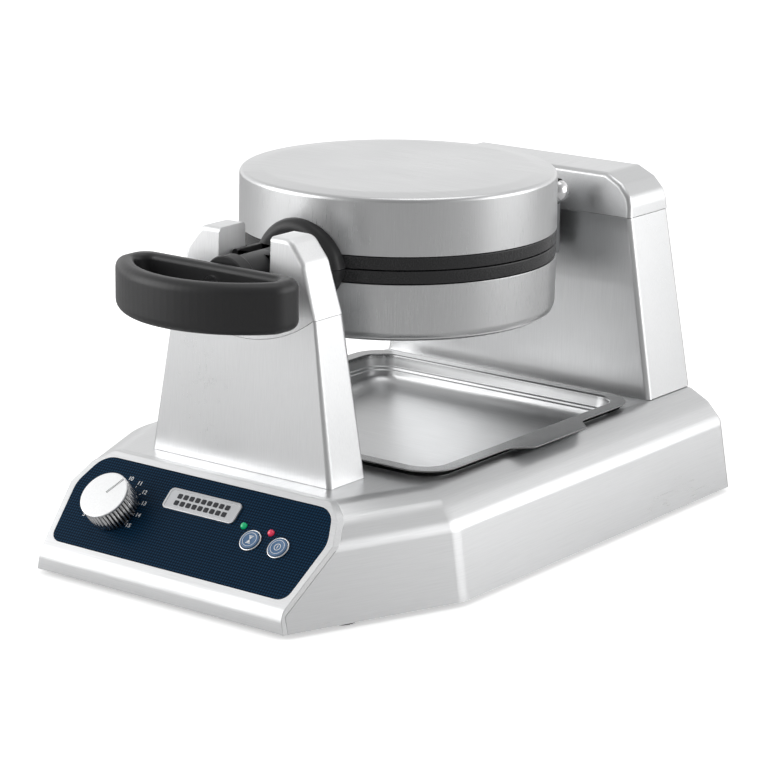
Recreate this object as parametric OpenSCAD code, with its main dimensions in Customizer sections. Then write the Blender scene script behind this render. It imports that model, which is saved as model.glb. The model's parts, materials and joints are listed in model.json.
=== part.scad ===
// Rotary waffle maker: a sheet-metal base with a front and a rear tower carries
// a round pair of waffle plates, which flips end over end about the front-to-rear shaft.
// Millimetres, +Z up, front (control panel and handle) towards -Y.
// The origin is on the table, under the middle of the machine.

/* [Base] */
// Width of the base at the table
base_w = 288; // [276:1:300]
// Depth of the base, front lip to back wall
base_d = 427; // [424:1:440]
// Width of the base along its front lip
front_w = 195.4; // [190:0.2:200]
// Depth over which the cut-off front corners run
corner_d = 116.5; // [110:0.5:122]
// Height of the flat deck above the shell's lower edge
deck_z = 65; // [64:0.5:66]
// Height of the upright front lip below the sloping panel
lip_h = 12; // [10:0.5:14]
// Run of the sloping panel for each millimetre that it rises
panel_run = 1.12; // [1.08:0.01:1.16]
// Thickness of the sheet steel
sheet = 1.2; // [1:0.1:1.5]
// Height of the rubber feet below the shell
foot_h = 3; // [2:0.5:4]
// Radius of the rubber feet
foot_r = 12; // [10:0.5:13]

/* [Plates] */
// Radius of the plate housings
housing_r = 102.3; // [101:0.1:103]
// Distance of the plates' centre behind the front lip
plate_y = 237.6; // [236:0.1:239]
// Height of the flip axis, where the two plates meet
axis_z = 184.6; // [184:0.1:186]
// Height of one plate housing, from the split to its flat face
housing_h = 46.4; // [45:0.1:47]
// Height of the black rim ring on each housing
rim_h = 8.5; // [8:0.1:9]
// Gap between the two closed rims
split_gap = 0.6; // [0.5:0.1:0.8]
// Radius of the waffle grid inside its rim
grid_r = 80; // [76:1:82]
// Spacing of the waffle pockets
pocket_pitch = 21; // [20:0.5:24]
// Height of the studs that mould the pockets
stud_h = 9; // [7:0.5:9]

/* [Shaft and handle] */
// Radius of the front shaft in its saddle
shaft_r = 14; // [13:0.5:14]
// Radius of the rear spindle
spindle_r = 12; // [11:0.5:12]
// Half the width of the handle loop
handle_hw = 64.6; // [60:0.2:65]
// Height of the handle loop
handle_h = 31; // [28:0.2:32]
// Thickness of the handle's wall
handle_wall = 11.5; // [10:0.5:12]

/* [Controls] */
// Radius of the timer knob
knob_r = 16.5; // [15:0.5:17]
// Height of the timer knob above the panel
knob_h = 15; // [13:0.5:16]
// Number of grip ribs round the knob
knob_ribs = 40; // [30:1:48]
// Direction of the knob's pointer at rest, clockwise from straight up
pointer_deg = 30; // [0:5:90]
// Radius of the two push buttons
button_r = 6.1; // [5.8:0.1:6.6]
// How far a button can be pressed
button_travel = 1.2; // [0.8:0.1:1.4]

/* [Tray] */
// Width of the drip tray over its rim
tray_w = 220; // [210:1:222]
// Depth of the drip tray, front to back
tray_d = 231; // [225:1:233]
// Depth of the tray's basin
tray_depth = 20; // [16:0.5:20]

/* [Hidden] */

$fn = 64;
eps = 0.05;                  // running and seating clearance
below = 10;                  // how far cutting shapes reach past a face
far = 600;                   // longer than the whole machine

gland_out = 3;               // the cord gland's flange stands out of the back wall
total_d = base_d + gland_out;

// Shoulder of the base: how far the wall has moved in at each height
wall_profile = [[0, 0], [8.2, 46.2], [18.9, 57.5], [33.4, deck_z]];
wall_slope = wall_profile[1][0] / wall_profile[1][1];
corner_turn = atan2((base_w - front_w) / 2, corner_d);

panel_deg = atan2(1, panel_run);
panel_stretch = norm([1, panel_run]);
fascia_t = 3;
overlay_t = 0.8;
badge_t = 1.2;

// Places on the panel: across from the middle, up the slope from the lip
knob_at = [-59.2, 40.3];
start_at = [47.6, 41.9];
standby_at = [69.1, 41.5];
green_at = [37.2, 50.3];
red_at = [58.3, 50.1];
badge_at = [0.8, 56.5];
badge_size = [57, 15.4];
led_r = 2.1;
ring_r = 7.3;
stem_r = 2;
stem_len = 9;
knob_shaft_r = 3;
board_z = -14;               // the control board's top, below the panel's face
board_t = 1.6;
button_out = 1.8;
knob_gap = 0.6;

// Towers: lower height, upper height, half widths, front faces, back faces
front_column = [deck_z, 165.8, 71.4, 55.3, 77.7, 81.4, 113.3, 109.6];
rear_column = [deck_z, 185.5, 109.5, 87.8, 374.4, 377.3, 426.6, 424.4];
seam_gap = 0.3;
seam_z = 165.8;              // seam between the front tower and its yoke, at the sides
seam_dip = 18.3;             // how far the seam sags in the middle of the front
seam_hw = 54;
seam_r = (seam_hw * seam_hw + seam_dip * seam_dip) / (2 * seam_dip);
yoke_top = 212.5;
yoke_hw = 55.2;
ear_bend = [37.7, 194.6];    // centre of the bend from an ear's flank to its slanted shoulder
notch_hw = 20;
saddle_top = 198;
rear_seam_z = 185.5;
rear_top = 212.6;
cap_edge_r = 3;
cap_face_y = 377.3;
cap_lean = 5.7;
cap_back_y = 425.4;
cap_sheet = 1.5;

// Plates
split = split_gap / 2;
housing_wall = 1.5;
housing_edge_r = 7;
housing_draft = 1;
rim_wall_gap = 0.4;
grid_plate_r = 89;
pocket_floor = 13;
grid_back = 20;
element_r = 60;
element_rod_r = 4;
pad_r = 92;

// Rear support
hinge_y = 350;
hinge_z = 203;
hinge_pin_r = 4;
lug_r = 9;
arm_x = [25, 33];
lug_x = [33.4, 40];
sleeve_end = 47;
washer_t = 1.4;
nut_x = sleeve_end + washer_t + eps;
nut_r = 7.5;
carrier_y = [361, 366];
carrier_z = [158, 196];
boss_end = 371.3;
flange_y = [371.8, 376.4];
bushing_y = [372.2, 400];
block_y = [382.5, 399];
collar_y = [400.5, 406];
spindle_end = 412;

// Front shaft, hub and handle
hub_r = 33;
hub_y = 129;
hub_sink = 4.5;              // each half's arc is centred this far past the split
hub_edge_r = 7;
shaft_y = [60, 134.8];
saddle_y = [95, 118];
shaft_gap = 0.3;
handle_front = 5;
handle_back = 64;
handle_bow_r = 78.3;
handle_corner_r = 14;
handle_grip_r = 7;           // corner radius of the opening for the fingers
handle_drop = 2.6;             // the loop sits a little below the shaft's middle

// Drip tray and its well
tray_y = [130, 130 + tray_d];
tray_rim_z = 69.4;
tray_rim_t = 1.2;
tray_corner = 24;
tray_wall = 1;
tray_lip = 9;
tray_taper = 8;
tab_out = 12;
tab_y = [215, 286];
tab_slant = 6;
well_hw = 105.8;
well_y = [134, 357];
well_floor = 47.3;
well_flange = 3.6;

foot_places = [[-100, 50], [100, 50], [-112, 392], [112, 392]];
tower_screw_places = [for (x = [-50, 50], y = [88, 102]) [x, y], for (x = [-88, 88], y = [386, 414]) [x, y]];
screw_r = 2;

steel = [0.76, 0.77, 0.78];
bright = [0.88, 0.89, 0.9];
black = [0.12, 0.12, 0.13];
dark = [0.25, 0.25, 0.26];

// ---------- helpers ----------
// The machine is drawn from its front lip and the shell's lower edge, then put over its origin
module in_place() { translate([0, -total_d / 2, foot_h]) children(); }
module extrude_y(y0, y1) { translate([0, y1, 0]) rotate([90, 0, 0]) linear_extrude(y1 - y0) children(); }
module extrude_x(x0, x1) { translate([x0, 0, 0]) rotate([90, 0, 90]) linear_extrude(x1 - x0) children(); }
module rod_y(r, y0, y1) { translate([0, y0, 0]) rotate([-90, 0, 0]) cylinder(h = y1 - y0, r = r); }
module rod_x(r, x0, x1) { translate([x0, 0, 0]) rotate([0, 90, 0]) cylinder(h = x1 - x0, r = r); }
module tube(r_out, r_in, h) {
    difference() {
        cylinder(h = h, r = r_out);
        translate([0, 0, -1]) cylinder(h = h + 2, r = r_in);
    }
}
module both_sides() { children(); mirror([1, 0, 0]) children(); }
module on_panel(at, h = 0) { translate([0, 0, lip_h]) rotate([panel_deg, 0, 0]) translate([at[0], at[1], h]) children(); }
module at_axis() { translate([0, 0, axis_z]) children(); }
module at_plates() { translate([0, plate_y, axis_z]) children(); }

function arc(c, r, a0, a1, n = 8) = [for (i = [0:n]) c + r * [cos(a0 + (a1 - a0) * i / n), sin(a0 + (a1 - a0) * i / n)]];
function unit(v) = v / norm(v);
function left_of(v) = [-v[1], v[0]];
// A counter-clockwise convex outline with every side moved in by t
function moved_in(p, t) = [for (i = [0:len(p) - 1])
    let (n = len(p), a = left_of(unit(p[i] - p[(i + n - 1) % n])), b = left_of(unit(p[(i + 1) % n] - p[i])))
    p[i] + t * (a + b) / (1 + a * b)];
function mirrored(p) = [for (i = [len(p) - 1:-1:0]) [-p[i][0], p[i][1]]];
function along(a0, a1, z0, z1, z) = a0 + (a1 - a0) * (z - z0) / (z1 - z0);

module rounded_box(hw, y, z, r) {
    translate([0, 0, z[0]]) linear_extrude(z[1] - z[0])
        polygon(concat(arc([hw - r, y[1] - r], r, 0, 90), arc([r - hw, y[1] - r], r, 90, 180),
                       arc([r - hw, y[0] + r], r, 180, 270), arc([hw - r, y[0] + r], r, 270, 360)));
}

// A four-sided tapering column from height za to zb, with its walls moved in by t
module column(c, za, zb, t = 0) {
    wa = along(c[2], c[3], c[0], c[1], za) - t;
    wb = along(c[2], c[3], c[0], c[1], zb) - t;
    intersection() {
        extrude_y(0, far) polygon([[-wa, za], [wa, za], [wb, zb], [-wb, zb]]);
        extrude_x(-far / 2, far / 2) polygon([
            [along(c[4], c[5], c[0], c[1], za) + t, za], [along(c[6], c[7], c[0], c[1], za) - t, za],
            [along(c[6], c[7], c[0], c[1], zb) - t, zb], [along(c[4], c[5], c[0], c[1], zb) + t, zb]]);
    }
}

// ---------- base ----------
// Outline of the wall profile as a solid half, out to the plane x = edge
function half_profile(edge, reach) = concat(
    [[-reach, -below], [edge + below * wall_slope, -below]],
    [for (i = [1:3]) [edge - wall_profile[i][0], wall_profile[i][1]]],
    [[-reach, deck_z]]);
function full_profile(edge) = concat(
    [[edge + below * wall_slope, -below]],
    [for (i = [1:3]) [edge - wall_profile[i][0], wall_profile[i][1]]],
    mirrored(concat([[edge + below * wall_slope, -below]],
        [for (i = [1:3]) [edge - wall_profile[i][0], wall_profile[i][1]]])));
// Side view of what lies behind the panel plane, set back by p
function behind_panel(p, back, top) = [
    [p, -below], [back, -below], [back, top],
    [(top - lip_h) * panel_run + p * panel_stretch, top],
    [p, lip_h + p * (1 - panel_stretch) / panel_run]];

// The base's whole body, with its walls moved in by t and its panel set back by p
module base_body(t, p) {
    intersection() {
        extrude_y(-below, far) polygon(moved_in(full_profile(base_w / 2), t));
        both_corners(t);
        extrude_x(-far / 2, far / 2) polygon(behind_panel(p, base_d - t, far / 2));
    }
}
module both_corners(t) {
    intersection() {
        corner_prism(t);
        mirror([1, 0, 0]) corner_prism(t);
    }
}
module corner_prism(t) {
    translate([front_w / 2, 0, 0]) rotate([0, 0, -corner_turn])
        extrude_y(-far, far) polygon(moved_in(half_profile(0, far), t));
}
module control_holes(depth) {
    on_panel(knob_at, -depth) cylinder(h = depth + below, r = 5);
    for (at = [start_at, standby_at]) on_panel(at, -depth) cylinder(h = depth + below, r = ring_r - 0.4);
    for (at = [green_at, red_at]) on_panel(at, -depth) cylinder(h = depth + below, r = led_r + 0.2);
}
module base_shell() color(steel) in_place() {
    difference() {
        intersection() {
            base_body(0, fascia_t);
            translate([-far / 2, -below, 0]) cube([far, far, far]);
        }
        base_body(sheet, fascia_t + sheet);
        rounded_box(well_hw, well_y, [deck_z - below, deck_z + below], tray_corner - 6);
        control_holes(20);
        for (p = tower_screw_places) translate([p[0], p[1], deck_z - below]) cylinder(h = 2 * below, r = screw_r + 0.1);
        translate([-70, 0, 28]) rod_y(9, base_d - below, base_d + below);
        for (y = [95, 400]) translate([0, y, deck_z - below]) cylinder(h = 2 * below, r = 8);
    }
}
module base_pan() color(steel) in_place() {
    difference() {
        intersection() {
            base_body(sheet + 0.3, fascia_t + sheet + 0.3);
            translate([-far / 2, -below, 0.3]) cube([far, far, sheet]);
        }
        for (p = foot_places) translate([p[0], p[1], -1]) cylinder(h = 5, r = screw_r + 0.1);
    }
}
module well_pan() color(steel) in_place() {
    top = deck_z - sheet - eps;
    difference() {
        union() {
            rounded_box(well_hw + 1, [well_y[0] - 1, well_y[1] + 1], [well_floor, top], tray_corner - 5);
            rounded_box(well_hw + well_flange, [well_y[0] - well_flange, well_y[1] + well_flange],
                        [top - 1, top], tray_corner - 2);
        }
        rounded_box(well_hw, well_y, [well_floor + 1, deck_z], tray_corner - 6);
    }
}
module foot(i) {
    translate([foot_places[i][0], foot_places[i][1], -foot_h]) color(black) difference() {
        union() {
            cylinder(h = 1, r1 = foot_r - 1, r2 = foot_r);
            translate([0, 0, 1]) cylinder(h = foot_h - 0.7, r = foot_r);
        }
        translate([0, 0, -1]) cylinder(h = foot_h + 5, r = screw_r + 0.1);
        translate([0, 0, -1]) cylinder(h = 2.4, r = 4.5);
    }
}
module foot_front_left() in_place() foot(0);
module foot_front_right() in_place() foot(1);
module foot_rear_left() in_place() foot(2);
module foot_rear_right() in_place() foot(3);
module foot_screws() color(bright) in_place() {
    for (p = foot_places) translate([p[0], p[1], eps - foot_h]) {
        cylinder(h = 1.3, r = 4);
        translate([0, 0, 1.2]) cylinder(h = 6, r = screw_r);
    }
}

// ---------- control panel ----------
overlay_outline = concat(
    arc([86, 17.4], 8, 270, 350.5, 5), arc([81, 50], 18, -9.5, 22, 4), arc([80.5, 60.5], 14.5, 22, 90, 6));
module overlay_shape(grow) {
    polygon(moved_in(concat(overlay_outline, mirrored(overlay_outline)), -grow));
}
module front_fascia() color(bright) in_place() {
    difference() {
        intersection() {
            base_body(0, 0);
            translate([-far / 2, -below, 0]) cube([far, far, far]);
        }
        extrude_x(-far / 2, far / 2) polygon(behind_panel(fascia_t - eps, far, far / 2));
        on_panel([0, 0], -overlay_t - eps) linear_extrude(below) overlay_shape(0.15);
        control_holes(20);
    }
}
module control_overlay() color([0.05, 0.13, 0.26]) in_place() {
    difference() {
        on_panel([0, 0], -overlay_t) linear_extrude(overlay_t) overlay_shape(0);
        control_holes(20);
    }
}
module badge_plate() color(bright) in_place() {
    on_panel(badge_at, eps) linear_extrude(badge_t)
        polygon([for (c = [[1, 1, 0], [-1, 1, 90], [-1, -1, 180], [1, -1, 270]])
            each arc([c[0] * (badge_size[0] / 2 - 3), c[1] * (badge_size[1] / 2 - 3)], 3, c[2], c[2] + 90, 6)]);
}
module timer_knob() color(dark) in_place() {
    on_panel(knob_at, knob_gap) difference() {
        linear_extrude(knob_h - knob_gap) polygon([for (i = [0:4 * knob_ribs - 1])
            (knob_r - (i % 4 < 2 ? 0 : 0.8)) * [cos(90 * i / knob_ribs), sin(90 * i / knob_ribs)]]);
        translate([0, 0, -1]) cylinder(h = knob_h - 3, r = knob_shaft_r + eps);
    }
}
module knob_cap() color(bright) in_place() {
    on_panel(knob_at, knob_h + eps) rotate([0, 0, -pointer_deg]) difference() {
        union() {
            cylinder(h = 0.8, r = knob_r - 0.2);
            translate([0, 0, 0.8]) cylinder(h = 0.4, r1 = knob_r - 0.2, r2 = knob_r - 0.8);
        }
        translate([-0.5, 0, 0.8]) cube([1, knob_r - 2, 1]);
    }
}
module timer_shaft() color(bright) in_place() {
    on_panel(knob_at, -17) cylinder(h = 17 + knob_h - 4, r = knob_shaft_r);
}
module timer_switch() color(dark) in_place() {
    on_panel(knob_at, -20) difference() {
        union() {
            translate([-11, -11, 0]) cube([22, 22, 13]);
            translate([0, 0, 13]) cylinder(h = 7, r = 4.6);
        }
        translate([0, 0, 2]) cylinder(h = 20, r = knob_shaft_r + eps);
    }
}
module push_button(at) {
    on_panel(at, button_out - 5) {
        cylinder(h = 4.4, r = button_r);
        translate([0, 0, 4.4]) cylinder(h = 0.6, r1 = button_r, r2 = button_r - 0.6);
        translate([0, 0, -stem_len + 2.5]) cylinder(h = stem_len - 2, r = stem_r);
    }
}
module start_button() color([0.45, 0.55, 0.68]) in_place() push_button(start_at);
module standby_button() color([0.45, 0.55, 0.68]) in_place() push_button(standby_at);
module button_rings() color(bright) in_place() {
    for (at = [start_at, standby_at]) {
        on_panel(at, eps) tube(ring_r, button_r + 0.3, 1);
        on_panel(at, -4) tube(ring_r - 0.5, button_r + 0.3, 4 + 2 * eps);
    }
}
module led(at) {
    on_panel(at, -6) cylinder(h = 6.4, r = led_r);
    on_panel(at, 0.4) intersection() {
        sphere(r = led_r);
        cylinder(h = 1.4, r = led_r + 1);
    }
}
module led_green() color([0.1, 0.75, 0.35]) in_place() led(green_at);
module led_red() color([0.85, 0.1, 0.12]) in_place() led(red_at);
module control_board() color([0.05, 0.35, 0.2]) in_place() {
    difference() {
        on_panel([30, 26], board_z - board_t) cube([50, 32, board_t]);
        for (x = [34, 76], y = [30, 54]) on_panel([x, y], board_z - 3) cylinder(h = 6, r = 1.6);
    }
}
module board_standoffs() color(bright) in_place() {
    shell_back = -(fascia_t + sheet) - eps;
    for (x = [34, 76], y = [30, 54]) {
        on_panel([x, y], board_z + eps) cylinder(h = shell_back - board_z - eps, r = 2.6);
        on_panel([x, y], board_z - board_t - 3) cylinder(h = board_t + 3 + eps, r = 1.5);
    }
}
module tact_switches() color(black) in_place() {
    top = button_out - 5 - stem_len + 2.5 - button_travel - 0.3;
    for (at = [start_at, standby_at]) on_panel(at, board_z + eps) translate([-3, -3, 0]) cube([6, 6, top - board_z - eps]);
}
module power_relay() color(dark) in_place() {
    translate([-75, 362, 0.3 + sheet + eps]) cube([30, 26, 32]);
}
module terminal_block() color([0.85, 0.83, 0.75]) in_place() {
    translate([-30, 368, 0.3 + sheet + eps]) difference() {
        cube([54, 22, 20]);
        for (i = [0:4]) translate([6 + 10.5 * i, 11, 8]) cylinder(h = 20, r = 3);
    }
}
module cord_gland() color(black) in_place() {
    translate([-70, 0, 28]) difference() {
        union() {
            rod_y(13, base_d + eps, base_d + gland_out);
            rod_y(8.9, base_d - 12, base_d + 1);
            rod_y(12, base_d - sheet - 7, base_d - sheet - eps);
        }
        rod_y(4.5, base_d - 20, base_d + 10);
    }
}

// ---------- towers ----------
// Everything above the sagging seam line, seen from the front
function seam_line(shift) = concat([[far, seam_z + shift]],
    arc([0, seam_z - seam_dip + seam_r], seam_r - shift,
        270 + asin(seam_hw / seam_r), 270 - asin(seam_hw / seam_r), 24),
    [[-far, seam_z + shift]]);
module front_tower() color(steel) in_place() {
    difference() {
        union() {
            difference() {
                column(front_column, deck_z + eps, seam_z + below);
                column(front_column, deck_z - below, seam_z + 2 * below, sheet);
            }
            difference() {
                column(front_column, deck_z + eps, deck_z + 2, sheet / 2);
                translate([-40, 91, deck_z - 1]) cube([80, 8, below]);
            }
        }
        extrude_y(0, far) polygon(concat(seam_line(-seam_gap / 2), [[-far, far], [far, far]]));
        for (p = tower_screw_places) translate([p[0], p[1], deck_z - 1]) cylinder(h = 5, r = screw_r + 0.1);
    }
}
// The yoke seen from the front, without its notch
yoke_half = concat([[yoke_hw, seam_z + seam_gap / 2]],
    arc(ear_bend, 9, 15.6, 39, 4), arc([31.2, yoke_top - 8], 8, 39, 90, 5));
module front_yoke() color(steel) in_place() {
    difference() {
        intersection() {
            column(front_column, seam_z - seam_dip - 5, yoke_top);
            extrude_y(0, far) polygon(concat(yoke_half, mirrored(yoke_half), yoke_seam()));
        }
        at_axis() rod_y(notch_hw, 0, far / 2);
        translate([-notch_hw, 0, axis_z]) cube([2 * notch_hw, far / 2, far / 2]);
        column(front_column, seam_z - 3 * below, seam_z - 6, 3);
    }
}
function yoke_seam() = arc([0, seam_z - seam_dip + seam_r], seam_r - seam_gap / 2,
    270 - asin(seam_hw / seam_r), 270 + asin(seam_hw / seam_r), 24);
module shaft_saddle() color(black) in_place() {
    difference() {
        at_axis() union() {
            rod_y(notch_hw - eps, saddle_y[0], saddle_y[1]);
            for (s = [-1, 1]) translate([s * (notch_hw + shaft_r + shaft_gap) / 2, 0, saddle_top - axis_z - 3])
                rod_y(2.8, saddle_y[0], saddle_y[1]);
            translate([eps - notch_hw, saddle_y[0], 0])
                cube([2 * (notch_hw - eps), saddle_y[1] - saddle_y[0], saddle_top - axis_z - 3]);
        }
        at_axis() rod_y(shaft_r + shaft_gap, 0, far / 2);
        translate([-shaft_r - shaft_gap, 0, axis_z]) cube([2 * (shaft_r + shaft_gap), far / 2, far / 2]);
    }
}
module rear_tower() color(steel) in_place() {
    top = rear_seam_z - seam_gap / 2;
    difference() {
        union() {
            difference() {
                column(rear_column, deck_z + eps, top);
                column(rear_column, deck_z - below, top + below, sheet);
            }
            difference() {
                column(rear_column, deck_z + eps, deck_z + 2, sheet / 2);
                translate([-75, 388, deck_z - 1]) cube([150, 24, below]);
            }
        }
        at_axis() rod_y(spindle_r + 4.5, 360, 390);
        for (p = tower_screw_places) translate([p[0], p[1], deck_z - 1]) cylinder(h = 5, r = screw_r + 0.1);
    }
}
function cap_front_outline(z0) = let (half = concat([[87.7, z0], [86.6, 193]],
    [[84.6, 198.6], [76.8, 206.5], [64.5, rear_top]])) concat(half, mirrored(half));
function cap_side_outline(z0) = concat(
    [[cap_face_y, z0], [cap_back_y - 1, z0], [cap_back_y, z0 + 8]],
    arc([cap_back_y - cap_edge_r, rear_top - cap_edge_r], cap_edge_r, 0, 90, 4),
    arc([cap_face_y + cap_lean + cap_edge_r, rear_top - cap_edge_r], cap_edge_r, 90, 166, 4));
module cap_form(z0, t) {
    intersection() {
        extrude_y(0, far) polygon(moved_in(cap_front_outline(z0), t));
        extrude_x(-far / 2, far / 2) polygon(moved_in(cap_side_outline(z0), t));
    }
}
module rear_cap() color(steel) in_place() {
    difference() {
        cap_form(rear_seam_z + seam_gap / 2, 0);
        cap_form(rear_seam_z - below, cap_sheet);
        at_axis() rod_y(spindle_r + 4.5, 360, 390);
    }
}
module tower_screws() color(bright) in_place() {
    for (p = tower_screw_places) translate([p[0], p[1], deck_z - sheet - 2.5]) {
        cylinder(h = 2.4, r = 3.6);
        translate([0, 0, 2.4]) cylinder(h = 6, r = screw_r);
    }
}

// ---------- rear spindle and carrier ----------
module spindle_flange() color(black) in_place() {
    at_axis() difference() {
        rod_y(26, flange_y[0], flange_y[1]);
        rod_y(spindle_r + 4.5, 360, 390);
    }
}
module spindle_bushing() color([0.72, 0.6, 0.3]) in_place() {
    at_axis() difference() {
        rod_y(spindle_r + 4, bushing_y[0], bushing_y[1]);
        rod_y(spindle_r + eps, 360, far);
    }
}
module spindle_block() color([0.5, 0.5, 0.52]) in_place() {
    difference() {
        translate([-30, block_y[0], 162]) cube([60, block_y[1] - block_y[0], 34]);
        at_axis() rod_y(spindle_r + 4 + eps, 360, far);
    }
}
module spindle() color(bright) in_place() {
    at_axis() difference() {
        rod_y(spindle_r, carrier_y[0] - 3, spindle_end);
        rod_y(5, 340, far);
    }
}
module spindle_collar() color([0.5, 0.5, 0.52]) in_place() {
    at_axis() difference() {
        rod_y(spindle_r + 5, collar_y[0], collar_y[1]);
        rod_y(spindle_r + eps, 360, far);
    }
}
module housing_space(clear) { translate([0, plate_y, 0]) cylinder(h = far, r = housing_r + clear, $fn = 128); }
module hinge_hole(r) { translate([0, hinge_y, hinge_z]) rod_x(r, -far / 4, far / 4); }
module carrier() color([0.5, 0.5, 0.52]) in_place() {
    difference() {
        union() {
            translate([-lug_x[1], carrier_y[0], carrier_z[0]])
                cube([2 * lug_x[1], carrier_y[1] - carrier_y[0], carrier_z[1] - carrier_z[0]]);
            at_axis() rod_y(spindle_r + 5, carrier_y[1] - 1, boss_end);
            both_sides() {
                extrude_x(lug_x[0], lug_x[1]) polygon([
                    [hinge_y - lug_r, hinge_z], [336, 186], [326, 176], [326, carrier_z[0]],
                    [carrier_y[1], carrier_z[0]], [carrier_y[1], 190], [hinge_y + lug_r, hinge_z]]);
                translate([0, hinge_y, hinge_z]) rod_x(lug_r, lug_x[0], lug_x[1]);
            }
            translate([-lug_x[1], 326, carrier_z[0]]) cube([2 * lug_x[1], carrier_y[1] - 326, 8]);
        }
        housing_space(0.1);
        at_axis() rod_y(spindle_r + eps, 340, far);
        hinge_hole(hinge_pin_r + eps);
    }
}
module lid_arms() color([0.5, 0.5, 0.52]) in_place() {
    difference() {
        both_sides() {
            extrude_x(arm_x[0], arm_x[1]) polygon([
                [hinge_y, hinge_z - lug_r], [hinge_y, hinge_z + lug_r], [334, 220], [326, 220], [326, 194.4], [338, 194]]);
            translate([0, hinge_y, hinge_z]) rod_x(lug_r, arm_x[0], arm_x[1]);
        }
        housing_space(0.1);
        hinge_hole(hinge_pin_r + eps);
    }
}
module hinge_pin() color(bright) in_place() {
    translate([0, hinge_y, hinge_z]) rod_x(hinge_pin_r, -nut_x - 1, nut_x + 1);
}
module hinge_washers() color(black) in_place() {
    both_sides() translate([0, hinge_y, hinge_z]) rotate([0, 90, 0]) {
        translate([0, 0, lug_x[1] + eps]) tube(6.6, hinge_pin_r + eps, sleeve_end - lug_x[1]);
        translate([0, 0, sleeve_end]) tube(8.6, hinge_pin_r + eps, washer_t);
    }
}
module dome_nuts() color(bright) in_place() {
    both_sides() translate([nut_x, hinge_y, hinge_z]) rotate([0, 90, 0])
        rotate_extrude() polygon(concat([[0, 1.1], [hinge_pin_r + eps, 1.1], [hinge_pin_r + eps, 0], [nut_r, 0]],
            [for (a = [0:15:90]) [nut_r * cos(a), 1.8 + 4.8 * sin(a)]]));
}

// ---------- plates: the lower half is drawn as the upper one, turned over ----------
module lower_half() { at_plates() mirror([0, 0, 1]) children(); }
module upper_half() { at_plates() children(); }
function shell_outline(r, h, edge, z0) = concat(
    [[0, z0], [r, z0]], arc([r - housing_draft - edge, h - edge], edge, 0, 90, 8), [[0, h]]);
module housing() {
    z0 = split + rim_h;
    difference() {
        rotate_extrude($fn = 128) polygon(shell_outline(housing_r, housing_h, housing_edge_r, z0));
        rotate_extrude($fn = 128) polygon(shell_outline(
            housing_r - housing_wall, housing_h - housing_wall, housing_edge_r - housing_wall, z0 - 1));
    }
}
module rim() {
    rotate_extrude($fn = 128) polygon([
        [grid_r, split], [housing_r - 0.6, split], [housing_r, split + 0.6], [housing_r, split + rim_h - 0.8],
        [housing_r - 0.7, split + rim_h - 0.1], [housing_r - housing_wall - rim_wall_gap, split + rim_h - 0.1],
        [housing_r - housing_wall - rim_wall_gap, split + rim_h + 4], [grid_r, split + rim_h + 4]]);
}
module stud() { linear_extrude(stud_h + 1, scale = 0.62) square(pocket_pitch * 0.6, center = true); }
module grid() {
    reach = floor(grid_r / pocket_pitch);
    difference() {
        translate([0, 0, pocket_floor]) cylinder(h = grid_back - pocket_floor, r = grid_plate_r, $fn = 128);
        translate([0, 0, grid_back]) rotate_extrude() translate([element_r, 0]) circle(r = element_rod_r + 0.1);
    }
    for (i = [-reach:reach], j = [-reach:reach])
        if (norm([i, j]) * pocket_pitch < grid_r - pocket_pitch * 0.42)
            translate([i * pocket_pitch, j * pocket_pitch, pocket_floor + 1]) mirror([0, 0, 1]) stud();
}
module element() {
    translate([0, 0, grid_back]) {
        difference() {
            rotate_extrude() translate([element_r, 0]) circle(r = element_rod_r);
            translate([-5, 40, -10]) cube([10, 40, 20]);
        }
        for (s = [-1, 1]) translate([s * 8.5, element_r - 0.6, 0]) cylinder(h = 10, r = 2.5);
    }
}
module pad() {
    difference() {
        translate([0, 0, 31.5]) cylinder(h = 12, r = pad_r);
        translate([0, 0, 31]) cylinder(h = 14, r = 14);
    }
}
module thermostat() {
    translate([20, 0, grid_back + eps]) {
        cylinder(h = 7, r = 8);
        translate([-9, -4, 7]) cube([18, 8, 2]);
    }
}
module hub() {
    difference() {
        translate([0, -plate_y, 0]) intersection() {
            translate([0, hub_y, -hub_sink]) rotate([-90, 0, 0]) rotate_extrude() polygon(concat(
                [[0, 0]], arc([hub_r - hub_edge_r, hub_edge_r], hub_edge_r, 270, 360, 6), [[hub_r, 25], [0, 25]]));
            translate([-50, 0, split]) cube([100, 200, 50]);
        }
        translate([0, 0, -far / 4]) cylinder(h = far / 2, r = housing_r + 0.1, $fn = 128);
        translate([0, -plate_y, 0]) rod_y(shaft_r + shaft_gap, 0, 160);
    }
}
module upper_housing() color(steel) in_place() upper_half() housing();
module lower_housing() color(steel) in_place() lower_half() housing();
module upper_rim() color(dark) in_place() upper_half() rim();
module lower_rim() color(dark) in_place() lower_half() rim();
module upper_grid() color(black) in_place() upper_half() grid();
module lower_grid() color(black) in_place() lower_half() grid();
module upper_element() color([0.35, 0.3, 0.3]) in_place() upper_half() element();
module lower_element() color([0.35, 0.3, 0.3]) in_place() lower_half() element();
module upper_insulation() color([0.9, 0.88, 0.8]) in_place() upper_half() pad();
module lower_insulation() color([0.9, 0.88, 0.8]) in_place() lower_half() pad();
module upper_thermostat() color(bright) in_place() upper_half() thermostat();
module lower_thermostat() color(bright) in_place() lower_half() thermostat();
module upper_hub() color(black) in_place() upper_half() hub();
module lower_hub() color(black) in_place() lower_half() hub();

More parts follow.
